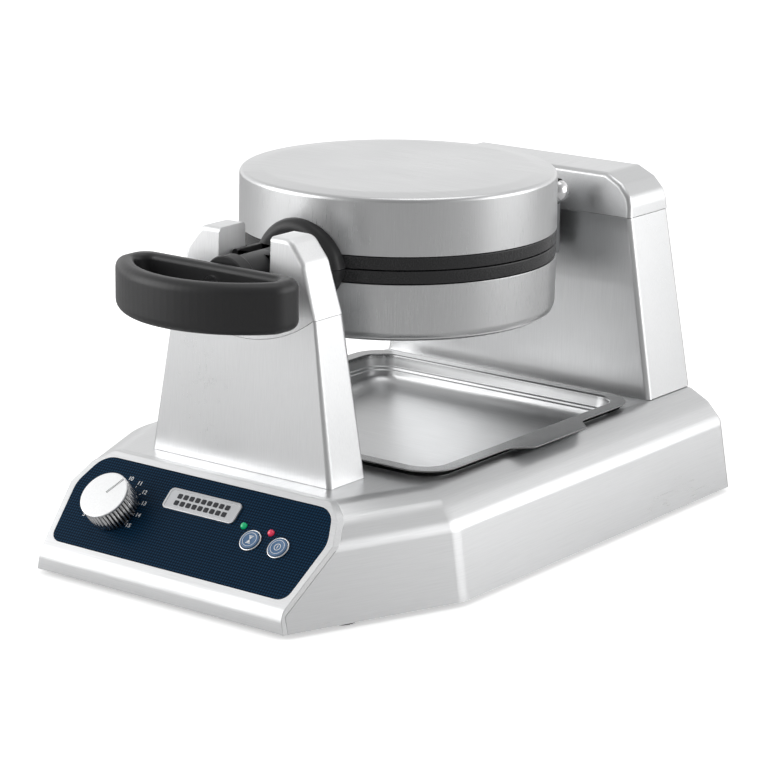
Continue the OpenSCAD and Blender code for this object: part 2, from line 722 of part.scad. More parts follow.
// ---------- shaft and handle ----------
module handle_shaft() color(black) in_place() {
    at_axis() difference() {
        union() {
            rod_y(shaft_r, shaft_y[0] + 6, shaft_y[1]);
            rod_y(shaft_r + 2.5, shaft_y[0] + 4.2, 74);
        }
        for (y = [105, 107.5]) difference() {
            rod_y(shaft_r + 1, y, y + 0.8);
            rod_y(shaft_r - 0.5, y - 1, y + 2);
        }
        rod_y(4.1, 0, 90);
    }
}
module handle_outline() {
    offset(r = handle_corner_r) offset(delta = -handle_corner_r) intersection() {
        translate([0, handle_front + handle_bow_r]) circle(r = handle_bow_r, $fn = 96);
        translate([-handle_hw, 0]) square([2 * handle_hw, handle_back]);
    }
}
module handle() color(black) in_place() {
    difference() {
        translate([0, 0, axis_z - handle_drop - handle_h / 2]) linear_extrude(handle_h) handle_outline();
        translate([0, 0, axis_z - handle_h]) linear_extrude(2 * handle_h)
            offset(r = handle_grip_r) offset(delta = -handle_wall - handle_grip_r) handle_outline();
        at_axis() rod_y(4.1, 40, 90);
        at_axis() rod_y(7, 40, handle_back - handle_wall + 4);
    }
}
module handle_bolt() color(bright) in_place() {
    at_axis() {
        rod_y(6.5, handle_back - handle_wall - 1, handle_back - handle_wall + 3.9);
        rod_y(4, handle_back - handle_wall + 3.8, 88);
    }
}

// ---------- drip tray ----------
module tray_form(grow, z0, z1) {
    top_hw = tray_w / 2 - tray_lip + grow;
    hull() {
        rounded_box(top_hw, [tray_y[0] + tray_lip - grow, tray_y[1] - tray_lip + grow], [z1 - 0.1, z1], tray_corner - 7);
        rounded_box(top_hw - tray_taper, [tray_y[0] + tray_lip + tray_taper - grow, tray_y[1] - tray_lip - tray_taper + grow],
                    [z0, z0 + 0.1], tray_corner - 9);
    }
}
module drip_tray() color(bright) in_place() {
    floor_z = tray_rim_z - tray_depth;
    difference() {
        union() {
            rounded_box(tray_w / 2, tray_y, [tray_rim_z - tray_rim_t, tray_rim_z], tray_corner);
            tray_form(0, floor_z - tray_wall, tray_rim_z - 0.2);
            translate([0, 0, tray_rim_z - tray_rim_t]) linear_extrude(tray_rim_t) polygon([
                [tray_w / 2 - 4, tab_y[0] - tab_slant], [tray_w / 2 + tab_out, tab_y[0] + tab_slant],
                [tray_w / 2 + tab_out, tab_y[1] - tab_slant], [tray_w / 2 - 4, tab_y[1] + tab_slant]]);
        }
        tray_form(-tray_wall, floor_z, tray_rim_z + 0.1);
    }
}

base_shell();
base_pan();
well_pan();
foot_front_left();
foot_front_right();
foot_rear_left();
foot_rear_right();
foot_screws();
front_fascia();
control_overlay();
badge_plate();
timer_knob();
knob_cap();
timer_shaft();
timer_switch();
start_button();
standby_button();
button_rings();
led_green();
led_red();
control_board();
board_standoffs();
tact_switches();
power_relay();
terminal_block();
cord_gland();
front_tower();
front_yoke();
shaft_saddle();
rear_tower();
rear_cap();
tower_screws();
spindle_flange();
spindle_block();
spindle_bushing();
spindle();
spindle_collar();
carrier();
hinge_pin();
dome_nuts();
hinge_washers();
lower_housing();
lower_rim();
lower_grid();
lower_element();
lower_insulation();
lower_thermostat();
lower_hub();
upper_housing();
upper_rim();
upper_grid();
upper_element();
upper_insulation();
upper_thermostat();
upper_hub();
lid_arms();
handle_shaft();
handle();
handle_bolt();
drip_tray();
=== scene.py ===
import json
from math import atan2, cos, hypot, pi, radians, sin

import bmesh
import bpy
from bpy.props import FloatProperty, FloatVectorProperty, IntProperty, PointerProperty
from mathutils import Matrix, Vector

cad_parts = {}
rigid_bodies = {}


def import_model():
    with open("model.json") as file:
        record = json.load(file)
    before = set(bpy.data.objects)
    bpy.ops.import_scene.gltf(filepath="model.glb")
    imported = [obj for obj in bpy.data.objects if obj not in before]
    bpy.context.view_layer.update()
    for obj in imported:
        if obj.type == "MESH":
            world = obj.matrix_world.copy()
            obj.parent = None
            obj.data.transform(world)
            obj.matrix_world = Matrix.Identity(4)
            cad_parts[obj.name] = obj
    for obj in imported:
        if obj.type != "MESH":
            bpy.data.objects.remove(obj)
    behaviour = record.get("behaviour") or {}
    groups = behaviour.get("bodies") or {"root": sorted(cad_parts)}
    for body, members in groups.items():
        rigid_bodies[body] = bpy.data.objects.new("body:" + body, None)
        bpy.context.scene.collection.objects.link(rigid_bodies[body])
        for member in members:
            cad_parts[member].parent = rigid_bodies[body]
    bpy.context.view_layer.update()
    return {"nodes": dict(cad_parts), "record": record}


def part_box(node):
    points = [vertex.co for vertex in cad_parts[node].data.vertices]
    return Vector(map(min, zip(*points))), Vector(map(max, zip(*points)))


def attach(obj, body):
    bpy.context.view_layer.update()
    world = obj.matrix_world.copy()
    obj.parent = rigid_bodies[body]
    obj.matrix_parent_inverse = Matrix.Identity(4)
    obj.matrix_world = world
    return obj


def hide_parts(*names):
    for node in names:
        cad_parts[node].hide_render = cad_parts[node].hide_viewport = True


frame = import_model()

bl_info = {
    "name": "Rotary Waffle Maker",
    "version": (1, 0, 0),
    "blender": (4, 5, 0),
    "location": "3D View > Sidebar > Waffle Maker",
    "description": "Finished outer parts of a rotary waffle maker, built round its mechanical frame",
    "category": "Object",
}

NODES = frame["nodes"]

MM = 0.001
PANEL_RUN = 1.12                       # run of the sloping panel for each unit that it rises
PANEL_TURN = atan2(1, PANEL_RUN)
LIP_HEIGHT = 0.012
FASCIA_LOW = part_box("front_fascia")[0]
SHEET = 1.5 * MM                       # the sheet steel's thickness in the pieces made here
NOTCH_HALF = 20.5 * MM                 # half the width of the yoke's notch
GRID_RADIUS = 80 * MM
SHAFT_RADIUS = 14 * MM
BOLT_BORE = 4.1 * MM
KNOB_RADIUS = 16.5 * MM
KNOB_HEIGHT = 15 * MM
LED_RADIUS = 2.1 * MM
BUTTON_RADIUS = 6.1 * MM
BUTTON_FACE = 1.8 * MM                 # how far a button's face stands out of the panel
RING_BORE, RING_SEAT, RING_RADIUS = 6.4 * MM, 6.8 * MM, 7.3 * MM
RING_HEIGHT = 1.05 * MM
CAMERA_PLACE = (1.1403, -1.5126, 0.5998)
CAMERA_AZIMUTH, CAMERA_ELEVATION, CAMERA_ROLL = radians(37.952), radians(14.849), radians(0.444)


# ---------------------------------------------------------------- places
def on_panel(across, up, out=0.0):
    """Matrix of a place on the sloping panel: across from the middle, up the slope, out of its face."""
    foot = Matrix.Translation((0, FASCIA_LOW.y, FASCIA_LOW.z + LIP_HEIGHT))
    return foot @ Matrix.Rotation(PANEL_TURN, 4, "X") @ Matrix.Translation((across, up, out))


def panel_place(node):
    """Where a control's middle lies on the panel: (across, up the slope)."""
    low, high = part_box(node)
    local = on_panel(0, 0).inverted() @ ((low + high) / 2)
    return local.x, local.y


def middle(node):
    low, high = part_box(node)
    return (low + high) / 2


# The flip axis is the middle of the handle's shaft; the plates turn about the point above the tray.
AXIS_Z = middle("handle_shaft").z
PLATES = Vector((0, middle("upper_housing").y, AXIS_Z))
ALONG_Y = Matrix.Rotation(-pi / 2, 4, "X")          # turns a shape built up +Z so that it runs along +Y


# ---------------------------------------------------------------- mesh work
def bevel(bm, edges, width, segments=3, clamp=True):
    bmesh.ops.bevel(bm, geom=list(edges), offset=width, offset_type="OFFSET", segments=segments,
                    profile=0.5, affect="EDGES", clamp_overlap=clamp, material=-1)


def bevel_corners(bm, verts, width, segments=6):
    bmesh.ops.bevel(bm, geom=list(verts), offset=width, offset_type="OFFSET", segments=segments,
                    profile=0.5, affect="VERTICES", clamp_overlap=True, material=-1)


def outward(bm):
    bmesh.ops.recalc_face_normals(bm, faces=bm.faces)


def place(bm, matrix):
    bmesh.ops.transform(bm, matrix=matrix, verts=bm.verts)


def outline(bm, corners):
    """One flat face through the given corners."""
    return bm.faces.new([bm.verts.new(c) for c in corners])


def thickened(bm, faces, shift):
    """Extrudes faces by shift and returns the new vertices."""
    made = bmesh.ops.extrude_face_region(bm, geom=list(faces))["geom"]
    verts = [g for g in made if isinstance(g, bmesh.types.BMVert)]
    bmesh.ops.translate(bm, verts=verts, vec=shift)
    return verts


def rounded_plate(bm, half_x, half_y, corner, thick, segments=6):
    """A flat plate with rounded corners, from z = 0 up to its thickness."""
    face = outline(bm, [(-half_x, -half_y, 0), (half_x, -half_y, 0),
                        (half_x, half_y, 0), (-half_x, half_y, 0)])
    bevel_corners(bm, list(face.verts), corner, segments)
    thickened(bm, list(bm.faces), (0, 0, thick))
    outward(bm)


def block(bm, size, at=(0, 0, 0)):
    """A box of a size with its middle at a place; returns its vertices."""
    made = bmesh.ops.create_cube(bm, size=1.0)["verts"]
    bmesh.ops.scale(bm, verts=made, vec=size)
    bmesh.ops.translate(bm, verts=made, vec=at)
    return made


def gather(whole, bm):
    """Adds one shape's mesh to the mesh of a piece that holds several."""
    part = bpy.data.meshes.new("part")
    bm.to_mesh(part)
    bm.free()
    whole.from_mesh(part)
    bpy.data.meshes.remove(part)


def ring_edges(bm, radius, height, near=3e-5):
    """Edges on a circle about the z axis at a height."""
    def on_ring(v):
        return abs(hypot(v.co.x, v.co.y) - radius) < near and abs(v.co.z - height) < near

    return [e for e in bm.edges if all(on_ring(v) for v in e.verts)]


def turned(profile, steps, rounds=(), closed=False, angle=360):
    """A shape turned about Z from (radius, height) points; rounds are (point, width, segments)."""
    bm = bmesh.new()
    verts = [bm.verts.new((r, 0, z)) for r, z in profile]
    pairs = list(zip(verts, verts[1:])) + ([(verts[-1], verts[0])] if closed else [])
    edges = [bm.edges.new(pair) for pair in pairs]
    bmesh.ops.spin(bm, geom=verts + edges, cent=(0, 0, 0), axis=(0, 0, 1), angle=radians(angle), steps=steps,
                   use_merge=angle == 360, use_duplicate=False)
    bmesh.ops.remove_doubles(bm, verts=bm.verts, dist=2e-6)
    outward(bm)
    for (radius, height), width, segments in rounds:
        bevel(bm, ring_edges(bm, radius, height), width, segments)
    return bm


def merged_copy(node):
    """A copy of a CAD node's mesh with its loose triangles joined into flat faces."""
    bm = bmesh.new()
    bm.from_mesh(NODES[node].data)
    bmesh.ops.remove_doubles(bm, verts=bm.verts, dist=2e-6)
    bmesh.ops.dissolve_limit(bm, angle_limit=radians(0.4), verts=bm.verts, edges=bm.edges)
    return bm


def corner_edges(bm, least_turn=12, least_area=0.0, test=None):
    """Convex edges that turn by enough degrees between faces of enough square millimetres."""
    found = []
    for e in bm.edges:
        if len(e.link_faces) != 2 or e.calc_face_angle_signed(0) < radians(least_turn):
            continue
        if min(f.calc_area() for f in e.link_faces) < least_area * MM * MM:
            continue
        if test is None or test(e):
            found.append(e)
    return found


def edge_middle(e):
    return (e.verts[0].co + e.verts[1].co) / 2


def edge_line(e):
    return (e.verts[1].co - e.verts[0].co).normalized()


def normals(e):
    return [f.normal for f in e.link_faces]


# ---------------------------------------------------------------- pieces
def finish(name, bm, body, material, stands_for=(), crease=32, even=True, flat=None):
    """Makes the finished mesh a piece that rides on a body and wears the given finish, hiding the CAD nodes it
    stands for.
    """
    if not bm.faces:
        raise RuntimeError(f"{name} came out empty")
    for f in bm.faces:
        f.smooth = True
    for e in bm.edges:
        e.smooth = len(e.link_faces) != 2 or e.calc_face_angle(0) < radians(crease)
        if flat is not None and len({flat(f) for f in e.link_faces}) == 2:
            e.smooth = False
    mesh = bpy.data.meshes.new(name)
    bm.to_mesh(mesh)
    bm.free()
    mesh.materials.append(material)
    piece = bpy.data.objects.new(name, mesh)
    bpy.context.scene.collection.objects.link(piece)
    if even:
        shading = piece.modifiers.new("even_shading", "WEIGHTED_NORMAL")
        shading.keep_sharp = True
    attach(piece, body)
    if stands_for:
        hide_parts(*stands_for)
    return piece


def eased(name, node, body, material, rounds, crease=32):
    """A CAD node's shape with its edges eased; rounds are (width, segments, edge test settings)."""
    bm = merged_copy(node)
    for width, segments, pick in rounds:
        bevel(bm, corner_edges(bm, **pick), width, segments, clamp=False)
    return finish(name, bm, body, material, (node,), crease)


# ---------------------------------------------------------------- finishes
class Finish:
    """A node material, with short ways to add grain, variation and lighter edges, which paint a highlight and also
    stand for rubbed edges.
    """

    def __init__(self, name, colour, metallic, roughness, **fixed):
        self.material = bpy.data.materials.new(name)
        self.material.use_nodes = True
        self.tree = self.material.node_tree
        self.shader = self.tree.nodes["Principled BSDF"]
        self.colour = (*colour, 1.0)
        self.shader.inputs["Base Color"].default_value = self.colour
        self.shader.inputs["Metallic"].default_value = metallic
        self.shader.inputs["Roughness"].default_value = roughness
        for socket, value in fixed.items():
            self.shader.inputs[socket.replace("_", " ")].default_value = value
        self.base = None
        self.normal = None

    def node(self, kind, inputs=(), **settings):
        made = self.tree.nodes.new(kind)
        for key, value in settings.items():
            setattr(made, key, value)
        for key, value in dict(inputs).items():
            if isinstance(value, bpy.types.NodeSocket):
                self.tree.links.new(value, made.inputs[key])
            else:
                made.inputs[key].default_value = value
        return made

    def spot(self, scale, turn=(0, 0, 0), move=(0, 0, 0)):
        """Object coordinates, scaled by axis."""
        coords = self.node("ShaderNodeTexCoord")
        return self.node("ShaderNodeMapping", {"Vector": coords.outputs["Object"], "Scale": scale,
                                               "Rotation": turn, "Location": move}).outputs[0]

    def noise(self, scale, detail=3.0, roughness=0.55, turn=(0, 0, 0), move=(0, 0, 0)):
        return self.node("ShaderNodeTexNoise", {"Vector": self.spot(scale, turn, move), "Scale": 1.0,
                                                "Detail": detail, "Roughness": roughness}).outputs["Fac"]

    def spread(self, value, low, high, start=0.3, end=0.7):
        return self.node("ShaderNodeMapRange", {"Value": value, "From Min": start, "From Max": end,
                                                "To Min": low, "To Max": high}).outputs[0]

    def maths(self, operation, a, b=0.0, clamp=False):
        made = self.node("ShaderNodeMath", {0: a, 1: b}, operation=operation)
        made.use_clamp = clamp
        return made.outputs[0]

    def blend_colour(self, factor, other):
        """Mixes the colour so far towards another by a factor."""
        mix = self.node("ShaderNodeMix", {"Factor": factor}, data_type="RGBA")
        if self.base is None:
            mix.inputs["A"].default_value = self.colour
        else:
            self.tree.links.new(self.base, mix.inputs["A"])
        mix.inputs["B"].default_value = (*other, 1.0)
        self.base = mix.outputs["Result"]
        self.tree.links.new(self.base, self.shader.inputs["Base Color"])
        return self

    def rough(self, value):
        self.tree.links.new(value, self.shader.inputs["Roughness"])
        return self

    def bump(self, height, strength, distance):
        bump = self.node("ShaderNodeBump", {"Height": height, "Strength": strength, "Distance": distance})
        if self.normal is not None:
            self.tree.links.new(self.normal, bump.inputs["Normal"])
        self.normal = bump.outputs["Normal"]
        self.tree.links.new(self.normal, self.shader.inputs["Normal"])
        return self

    def edge_mask(self, radius, gain=6.0):
        """1 along sharp edges, 0 on flat faces."""
        soft = self.node("ShaderNodeBevel", {"Radius": radius}, samples=4)
        hard = self.node("ShaderNodeNewGeometry")
        dot = self.node("ShaderNodeVectorMath", {0: soft.outputs[0], 1: hard.outputs["Normal"]},
                        operation="DOT_PRODUCT")
        return self.maths("MULTIPLY", self.maths("SUBTRACT", 1.0, dot.outputs["Value"]), gain, clamp=True)

    def upright_mask(self):
        """1 on level faces, 0 on walls."""
        normal = self.node("ShaderNodeSeparateXYZ", {0: self.node("ShaderNodeNewGeometry").outputs["Normal"]})
        return self.spread(self.maths("ABSOLUTE", normal.outputs["Z"]), 0.0, 1.0, 0.86, 0.96)

    def mixed(self, factor, a, b):
        mix = self.node("ShaderNodeMix", {"Factor": factor}, data_type="FLOAT")
        self.tree.links.new(a, mix.inputs["A"])
        self.tree.links.new(b, mix.inputs["B"])
        return mix.outputs["Result"]


def shaded(colour, share):
    return tuple(c * share for c in colour)


def brushed(name, colour, wall_grain, level_grain, roughness, depth):
    """Brushed sheet steel: fine grain lines, soft smudges, and edges painted brighter, a painted highlight that
    also stands for rubbed metal.
    """
    f = Finish(name, colour, 1.0, roughness)
    grain = f.mixed(f.upright_mask(), f.noise(wall_grain, 2.0), f.noise(level_grain, 2.0))
    smudge = f.noise((9, 9, 9), 4.0)
    f.blend_colour(f.spread(grain, 0.0, 0.30), shaded(colour, 0.82))
    f.blend_colour(f.spread(smudge, 0.0, 0.14, 0.35, 0.75), shaded(colour, 0.86))
    # Painted highlight: the edges are lightened towards near-white, partly standing for rubbed metal
    f.blend_colour(f.maths("MULTIPLY", f.edge_mask(0.8 * MM), 0.5), (0.93, 0.93, 0.94))
    f.rough(f.maths("ADD", f.spread(grain, roughness - 0.05, roughness + 0.07),
                    f.spread(smudge, -0.03, 0.05)))
    f.bump(grain, depth, 0.06 * MM)
    return f.material


def moulded(name, colour, roughness, grain=2600, depth=0.25, wear_and_sheen=(0.16, 0.16, 0.17)):
    """Moulded plastic with a fine spark-eroded texture, greyer along its edges: a painted highlight that also
    stands for rubbing by hands.
    """
    f = Finish(name, colour, 0.0, roughness, Specular_IOR_Level=0.45)
    fine = f.noise((grain, grain, grain), 2.0)
    blotch = f.noise((22, 22, 22), 3.0)
    f.blend_colour(f.spread(blotch, 0.0, 0.4), shaded(colour, 1.35))
    # Painted highlight: the edges are lightened, partly standing for rubbed plastic
    f.blend_colour(f.maths("MULTIPLY", f.edge_mask(0.9 * MM), 0.35), wear_and_sheen)
    f.rough(f.maths("ADD", f.spread(fine, roughness - 0.05, roughness + 0.06), f.spread(blotch, -0.04, 0.04)))
    f.bump(fine, depth, 0.05 * MM)
    return f.material


def polished(name, colour, roughness, waviness=0.03):
    """Plated or polished metal with a slight waviness and fine wiping marks."""
    f = Finish(name, colour, 1.0, roughness)
    wave = f.noise((26, 26, 26), 2.0)
    wipe = f.noise((40, 900, 900), 2.0, turn=(0, 0, 0.5))
    f.blend_colour(f.spread(wave, 0.0, 0.2), shaded(colour, 0.88))
    f.rough(f.maths("ADD", f.spread(wipe, roughness - 0.02, roughness + 0.05), f.spread(wave, -0.01, 0.02)))
    f.bump(wave, waviness, 0.6 * MM)
    return f.material


def pressed(name, colour, rim_height):
    """Pressed tray steel: a satin floor with long drawing marks; towards the rim it is smoother and painted
    darker, a painted dark reflection.
    """
    f = Finish(name, colour, 1.0, 0.2)
    drawn = f.noise((30, 1400, 40), 3.0)
    blotch = f.noise((14, 14, 14), 4.0)
    height = f.node("ShaderNodeSeparateXYZ", {0: f.spot((1, 1, 1))}).outputs["Z"]
    painted_dark_rim_band = f.spread(height, 0.0, 1.0, rim_height - 0.004, rim_height - 0.001)
    f.blend_colour(f.spread(drawn, 0.0, 0.22), shaded(colour, 0.8))
    f.blend_colour(f.spread(blotch, 0.0, 0.18, 0.35, 0.75), shaded(colour, 0.8))
    # Painted reflection: the band near the rim's top is darkened to stand for the dark surroundings it reflects
    f.blend_colour(painted_dark_rim_band, shaded(colour, 0.45))
    f.rough(f.maths("ADD", f.spread(drawn, 0.3, 0.4), f.maths("MULTIPLY", painted_dark_rim_band, -0.12)))
    f.bump(drawn, 0.05, 0.05 * MM)
    return f.material


def ribbed(name, colour, groove_shade_radius):
    """Plated grip of the timer knob: bright ribs with painted shade darkening the grooves between them."""
    f = Finish(name, colour, 1.0, 0.2)
    middle = Matrix.Rotation(-PANEL_TURN, 3, "X") @ on_panel(*panel_place("knob_cap")).translation
    spot = f.spot((1, 1, 1), turn=(-PANEL_TURN, 0, 0), move=(-middle.x, -middle.y, 0))
    flat = f.node("ShaderNodeVectorMath", {0: spot, 1: (1, 1, 0)}, operation="MULTIPLY").outputs["Vector"]
    out = f.node("ShaderNodeVectorMath", {0: flat}, operation="LENGTH").outputs["Value"]
    smear = f.noise((500, 500, 90), 3.0)
    f.blend_colour(f.spread(smear, 0.0, 0.3), shaded(colour, 0.75))
    # Painted shade: inside the groove radius the colour is darkened almost to black, so the grooves read as shaded
    f.blend_colour(f.spread(out, 1.0, 0.0, groove_shade_radius - 0.3 * MM, groove_shade_radius), shaded(colour, 0.07))
    f.rough(f.spread(smear, 0.16, 0.3))
    return f.material


def cast(name, colour, metallic, roughness, pits=0.35):
    """Cast or coated metal with a pebbled skin."""
    f = Finish(name, colour, metallic, roughness)
    fine = f.noise((1500, 1500, 1500), 3.0)
    broad = f.noise((60, 60, 60), 4.0)
    f.blend_colour(f.spread(broad, 0.0, 0.45), shaded(colour, 0.78))
    # Painted highlight: the edges are lightened
    f.blend_colour(f.maths("MULTIPLY", f.edge_mask(0.7 * MM), 0.4), shaded(colour, 1.25))
    f.rough(f.maths("ADD", f.spread(fine, roughness - 0.06, roughness + 0.08), f.spread(broad, -0.04, 0.04)))
    f.bump(fine, pits, 0.08 * MM)
    return f.material


def woven_film(name, colour, pitch):
    """Printed panel film: dark blue with a fine basket weave under a satin coat."""
    f = Finish(name, colour, 0.0, 0.38, Specular_IOR_Level=0.06)
    spot = f.spot((1, 1, 1), turn=(-PANEL_TURN, 0, 0))
    parts = f.node("ShaderNodeSeparateXYZ", {0: spot})
    across = f.maths("SINE", f.maths("MULTIPLY", parts.outputs["X"], pi / pitch))
    up = f.maths("SINE", f.maths("MULTIPLY", parts.outputs["Y"], pi / pitch))
    weave = f.maths("ABSOLUTE", f.maths("MULTIPLY", across, up))
    strand = f.noise((2200, 2200, 2200), 1.0)
    f.blend_colour(f.spread(weave, 1.0, 0.0, 0.3, 0.62), shaded(colour, 0.1))
    f.blend_colour(f.spread(strand, 0.0, 0.25), shaded(colour, 1.3))
    f.rough(f.spread(weave, 0.42, 0.34, 0.0, 1.0))
    f.bump(weave, 0.12, 0.03 * MM)
    return f.material


def soft_rubber(name, colour):
    f = Finish(name, colour, 0.0, 0.75, Specular_IOR_Level=0.3)
    fine = f.noise((1200, 1200, 1200), 3.0)
    f.blend_colour(f.spread(f.noise((70, 70, 70), 3.0), 0.0, 0.35), shaded(colour, 2.2))
    f.rough(f.spread(fine, 0.66, 0.86))
    f.bump(fine, 0.3, 0.06 * MM)
    return f.material


def lamp_lens(name, colour, glow):
    f = Finish(name, colour, 0.0, 0.18, Coat_Weight=0.6, Emission_Color=(*colour, 1.0),
               Emission_Strength=glow)
    swirl = f.noise((900, 900, 900), 2.0)
    f.blend_colour(f.spread(swirl, 0.0, 0.3), shaded(colour, 0.6))
    f.rough(f.spread(swirl, 0.14, 0.26))
    return f.material


def printed(name, colour):
    f = Finish(name, colour, 0.0, 0.5)
    mottle = f.noise((1800, 1800, 1800), 2.0)
    f.blend_colour(f.spread(mottle, 0.0, 0.3), shaded(colour, 0.75))
    f.rough(f.spread(mottle, 0.42, 0.58))
    return f.material


def mineral_wool(name, colour):
    f = Finish(name, colour, 0.0, 0.95)
    fibre = f.noise((500, 90, 900), 5.0, 0.7)
    f.blend_colour(f.spread(fibre, 0.0, 0.7), shaded(colour, 0.6))
    f.bump(fibre, 0.8, 0.6 * MM)
    return f.material


def circuit_board(name, colour):
    f = Finish(name, colour, 0.0, 0.35)
    tracks = f.node("ShaderNodeTexVoronoi", {"Vector": f.spot((260, 260, 260)), "Scale": 1.0},
                    feature="DISTANCE_TO_EDGE").outputs["Distance"]
    f.blend_colour(f.spread(tracks, 0.55, 0.0, 0.02, 0.08), shaded(colour, 2.2))
    f.rough(f.spread(tracks, 0.28, 0.42, 0.0, 0.2))
    return f.material


FINISHES = {}


def finish_of(slot):
    if slot not in FINISHES:
        raise RuntimeError(f"the finishes come first: {slot} isn't made yet")
    return FINISHES[slot]


# ---------------------------------------------------------------- settings
def length(name, text, default, low=0.0, high=0.2):
    return FloatProperty(name=name, description=text, default=default, min=low, max=high, subtype="DISTANCE",
                         unit="LENGTH", precision=5)


def tint(name, text, default):
    return FloatVectorProperty(name=name, description=text, default=default, size=3, min=0.0, max=1.0,
                               subtype="COLOR")


def count(name, text, default, low, high):
    return IntProperty(name=name, description=text, default=default, min=low, max=high)


def number(name, text, default, low, high, unit="NONE"):
    return FloatProperty(name=name, description=text, default=default, min=low, max=high, unit=unit)


class ColourSettings(bpy.types.PropertyGroup):
    steel: tint("Steel", "Colour of the brushed sheet steel", (0.74, 0.745, 0.75))
    trim: tint("Trim", "Colour of the panel's satin surround", (0.80, 0.805, 0.81))
    plastic: tint("Plastic", "Colour of the handle and the hub", (0.020, 0.020, 0.021))
    rim: tint("Rim", "Colour of the rims between the housings", (0.022, 0.022, 0.023))
    panel: tint("Panel", "Colour of the control panel film", (0.006, 0.036, 0.082))
    button: tint("Buttons", "Colour of the push buttons", (0.085, 0.17, 0.31))
    ready: tint("Ready lamp", "Colour of the ready lamp", (0.0, 0.42, 0.16))
    power: tint("Power lamp", "Colour of the power lamp", (0.62, 0.03, 0.08))


class SheetSettings(bpy.types.PropertyGroup):
    base_round: length("Base edges", "Rounding of the bends in the base", 4.5 * MM)
    tower_round: length("Tower edges", "Rounding of the towers' upright bends", 3.4 * MM)
    yoke_round: length("Yoke edges", "Rounding of the yoke's outer edges", 3.2 * MM)
    cap_round: length("Cap edges", "Rounding of the rear cap's edges", 3.2 * MM)
    trim_round: length("Trim edges", "Rounding of the panel surround's bend above its lip", 5.0 * MM)
    fine_round: length("Cut edges", "Easing of cut edges", 0.35 * MM)


class PlateSettings(bpy.types.PropertyGroup):
    crown_radius: length("Crown radius", "Radius of the level part of a housing's face", 88 * MM)
    crown_fall: length("Crown fall", "How far the face falls from there to its edge", 1.6 * MM)
    edge_round: length("Edge rounding", "Rounding where the upper housing's face meets its wall", 2.8 * MM)
    lower_edge_round: length("Lower edge rounding", "Rounding where the lower housing's face meets its wall",
                             6.5 * MM)
    turning_steps: count("Turning steps", "Flats round a turned part", 192, 64, 360)
    hub_round: length("Hub rounding", "Easing of the hub's cut edges", 0.6 * MM)
    stud_round: length("Stud rounding", "Rounding of the waffle studs", 0.9 * MM)


class HandleSettings(bpy.types.PropertyGroup):
    outer_round: length("Outer rounding", "Rounding of the loop's outer rims", 6.2 * MM)
    inner_round: length("Inner rounding", "Rounding of the loop's inner rims", 3.8 * MM)
    saddle_round: length("Saddle rounding", "Rounding of the shaft saddle", 0.8 * MM)


class ControlSettings(bpy.types.PropertyGroup):
    ribs: count("Knob ribs", "Grip ribs round the timer knob", 40, 24, 60)
    rib_depth: length("Rib depth", "Depth of the knob's ribs", 1.3 * MM)
    numeral: length("Numerals", "Height of the dial's numerals", 4.0 * MM)
    dial_radius: length("Dial radius", "Radius of the ring of numerals", 20.9 * MM)
    first_value: count("First value", "Lowest number on the dial", 5, 0, 20)
    last_value: count("Last value", "Highest number on the dial", 15, 5, 60)


class TraySettings(bpy.types.PropertyGroup):
    hem: length("Hem", "Height of the rim's turned-down hem", 1.6 * MM)
    corner: length("Corner", "Corner radius of the rim", 24 * MM)
    lip: length("Lip", "Width of the rim", 9 * MM)
    metal: length("Metal", "Thickness of the tray's metal", 0.8 * MM)


class StudioSettings(bpy.types.PropertyGroup):
    lens: number("Lens", "Focal length in millimetres for a 36 mm sensor", 142.16, 20, 300)
    key_power: number("Key light", "Power of the left softbox", 32, 0, 500, "POWER")
    fill_power: number("Fill light", "Power of the right softbox", 19, 0, 500, "POWER")
    top_power: number("Top light", "Power of the overhead softbox", 6, 0, 500, "POWER")
    floor: tint("Floor", "Colour of the studio floor", (0.93, 0.93, 0.93))
    floor_glow: number("Floor glow", "How far the floor is lit from below", 0.5, 0, 2)
    floor_dim: number("Floor in reflections", "Share of the floor's colour that reflections see", 0.6, 0, 1)


GROUPS = {"baker_colours": ColourSettings, "baker_sheet": SheetSettings, "baker_plates": PlateSettings,
          "baker_handle": HandleSettings, "baker_controls": ControlSettings, "baker_tray": TraySettings,
          "baker_studio": StudioSettings}


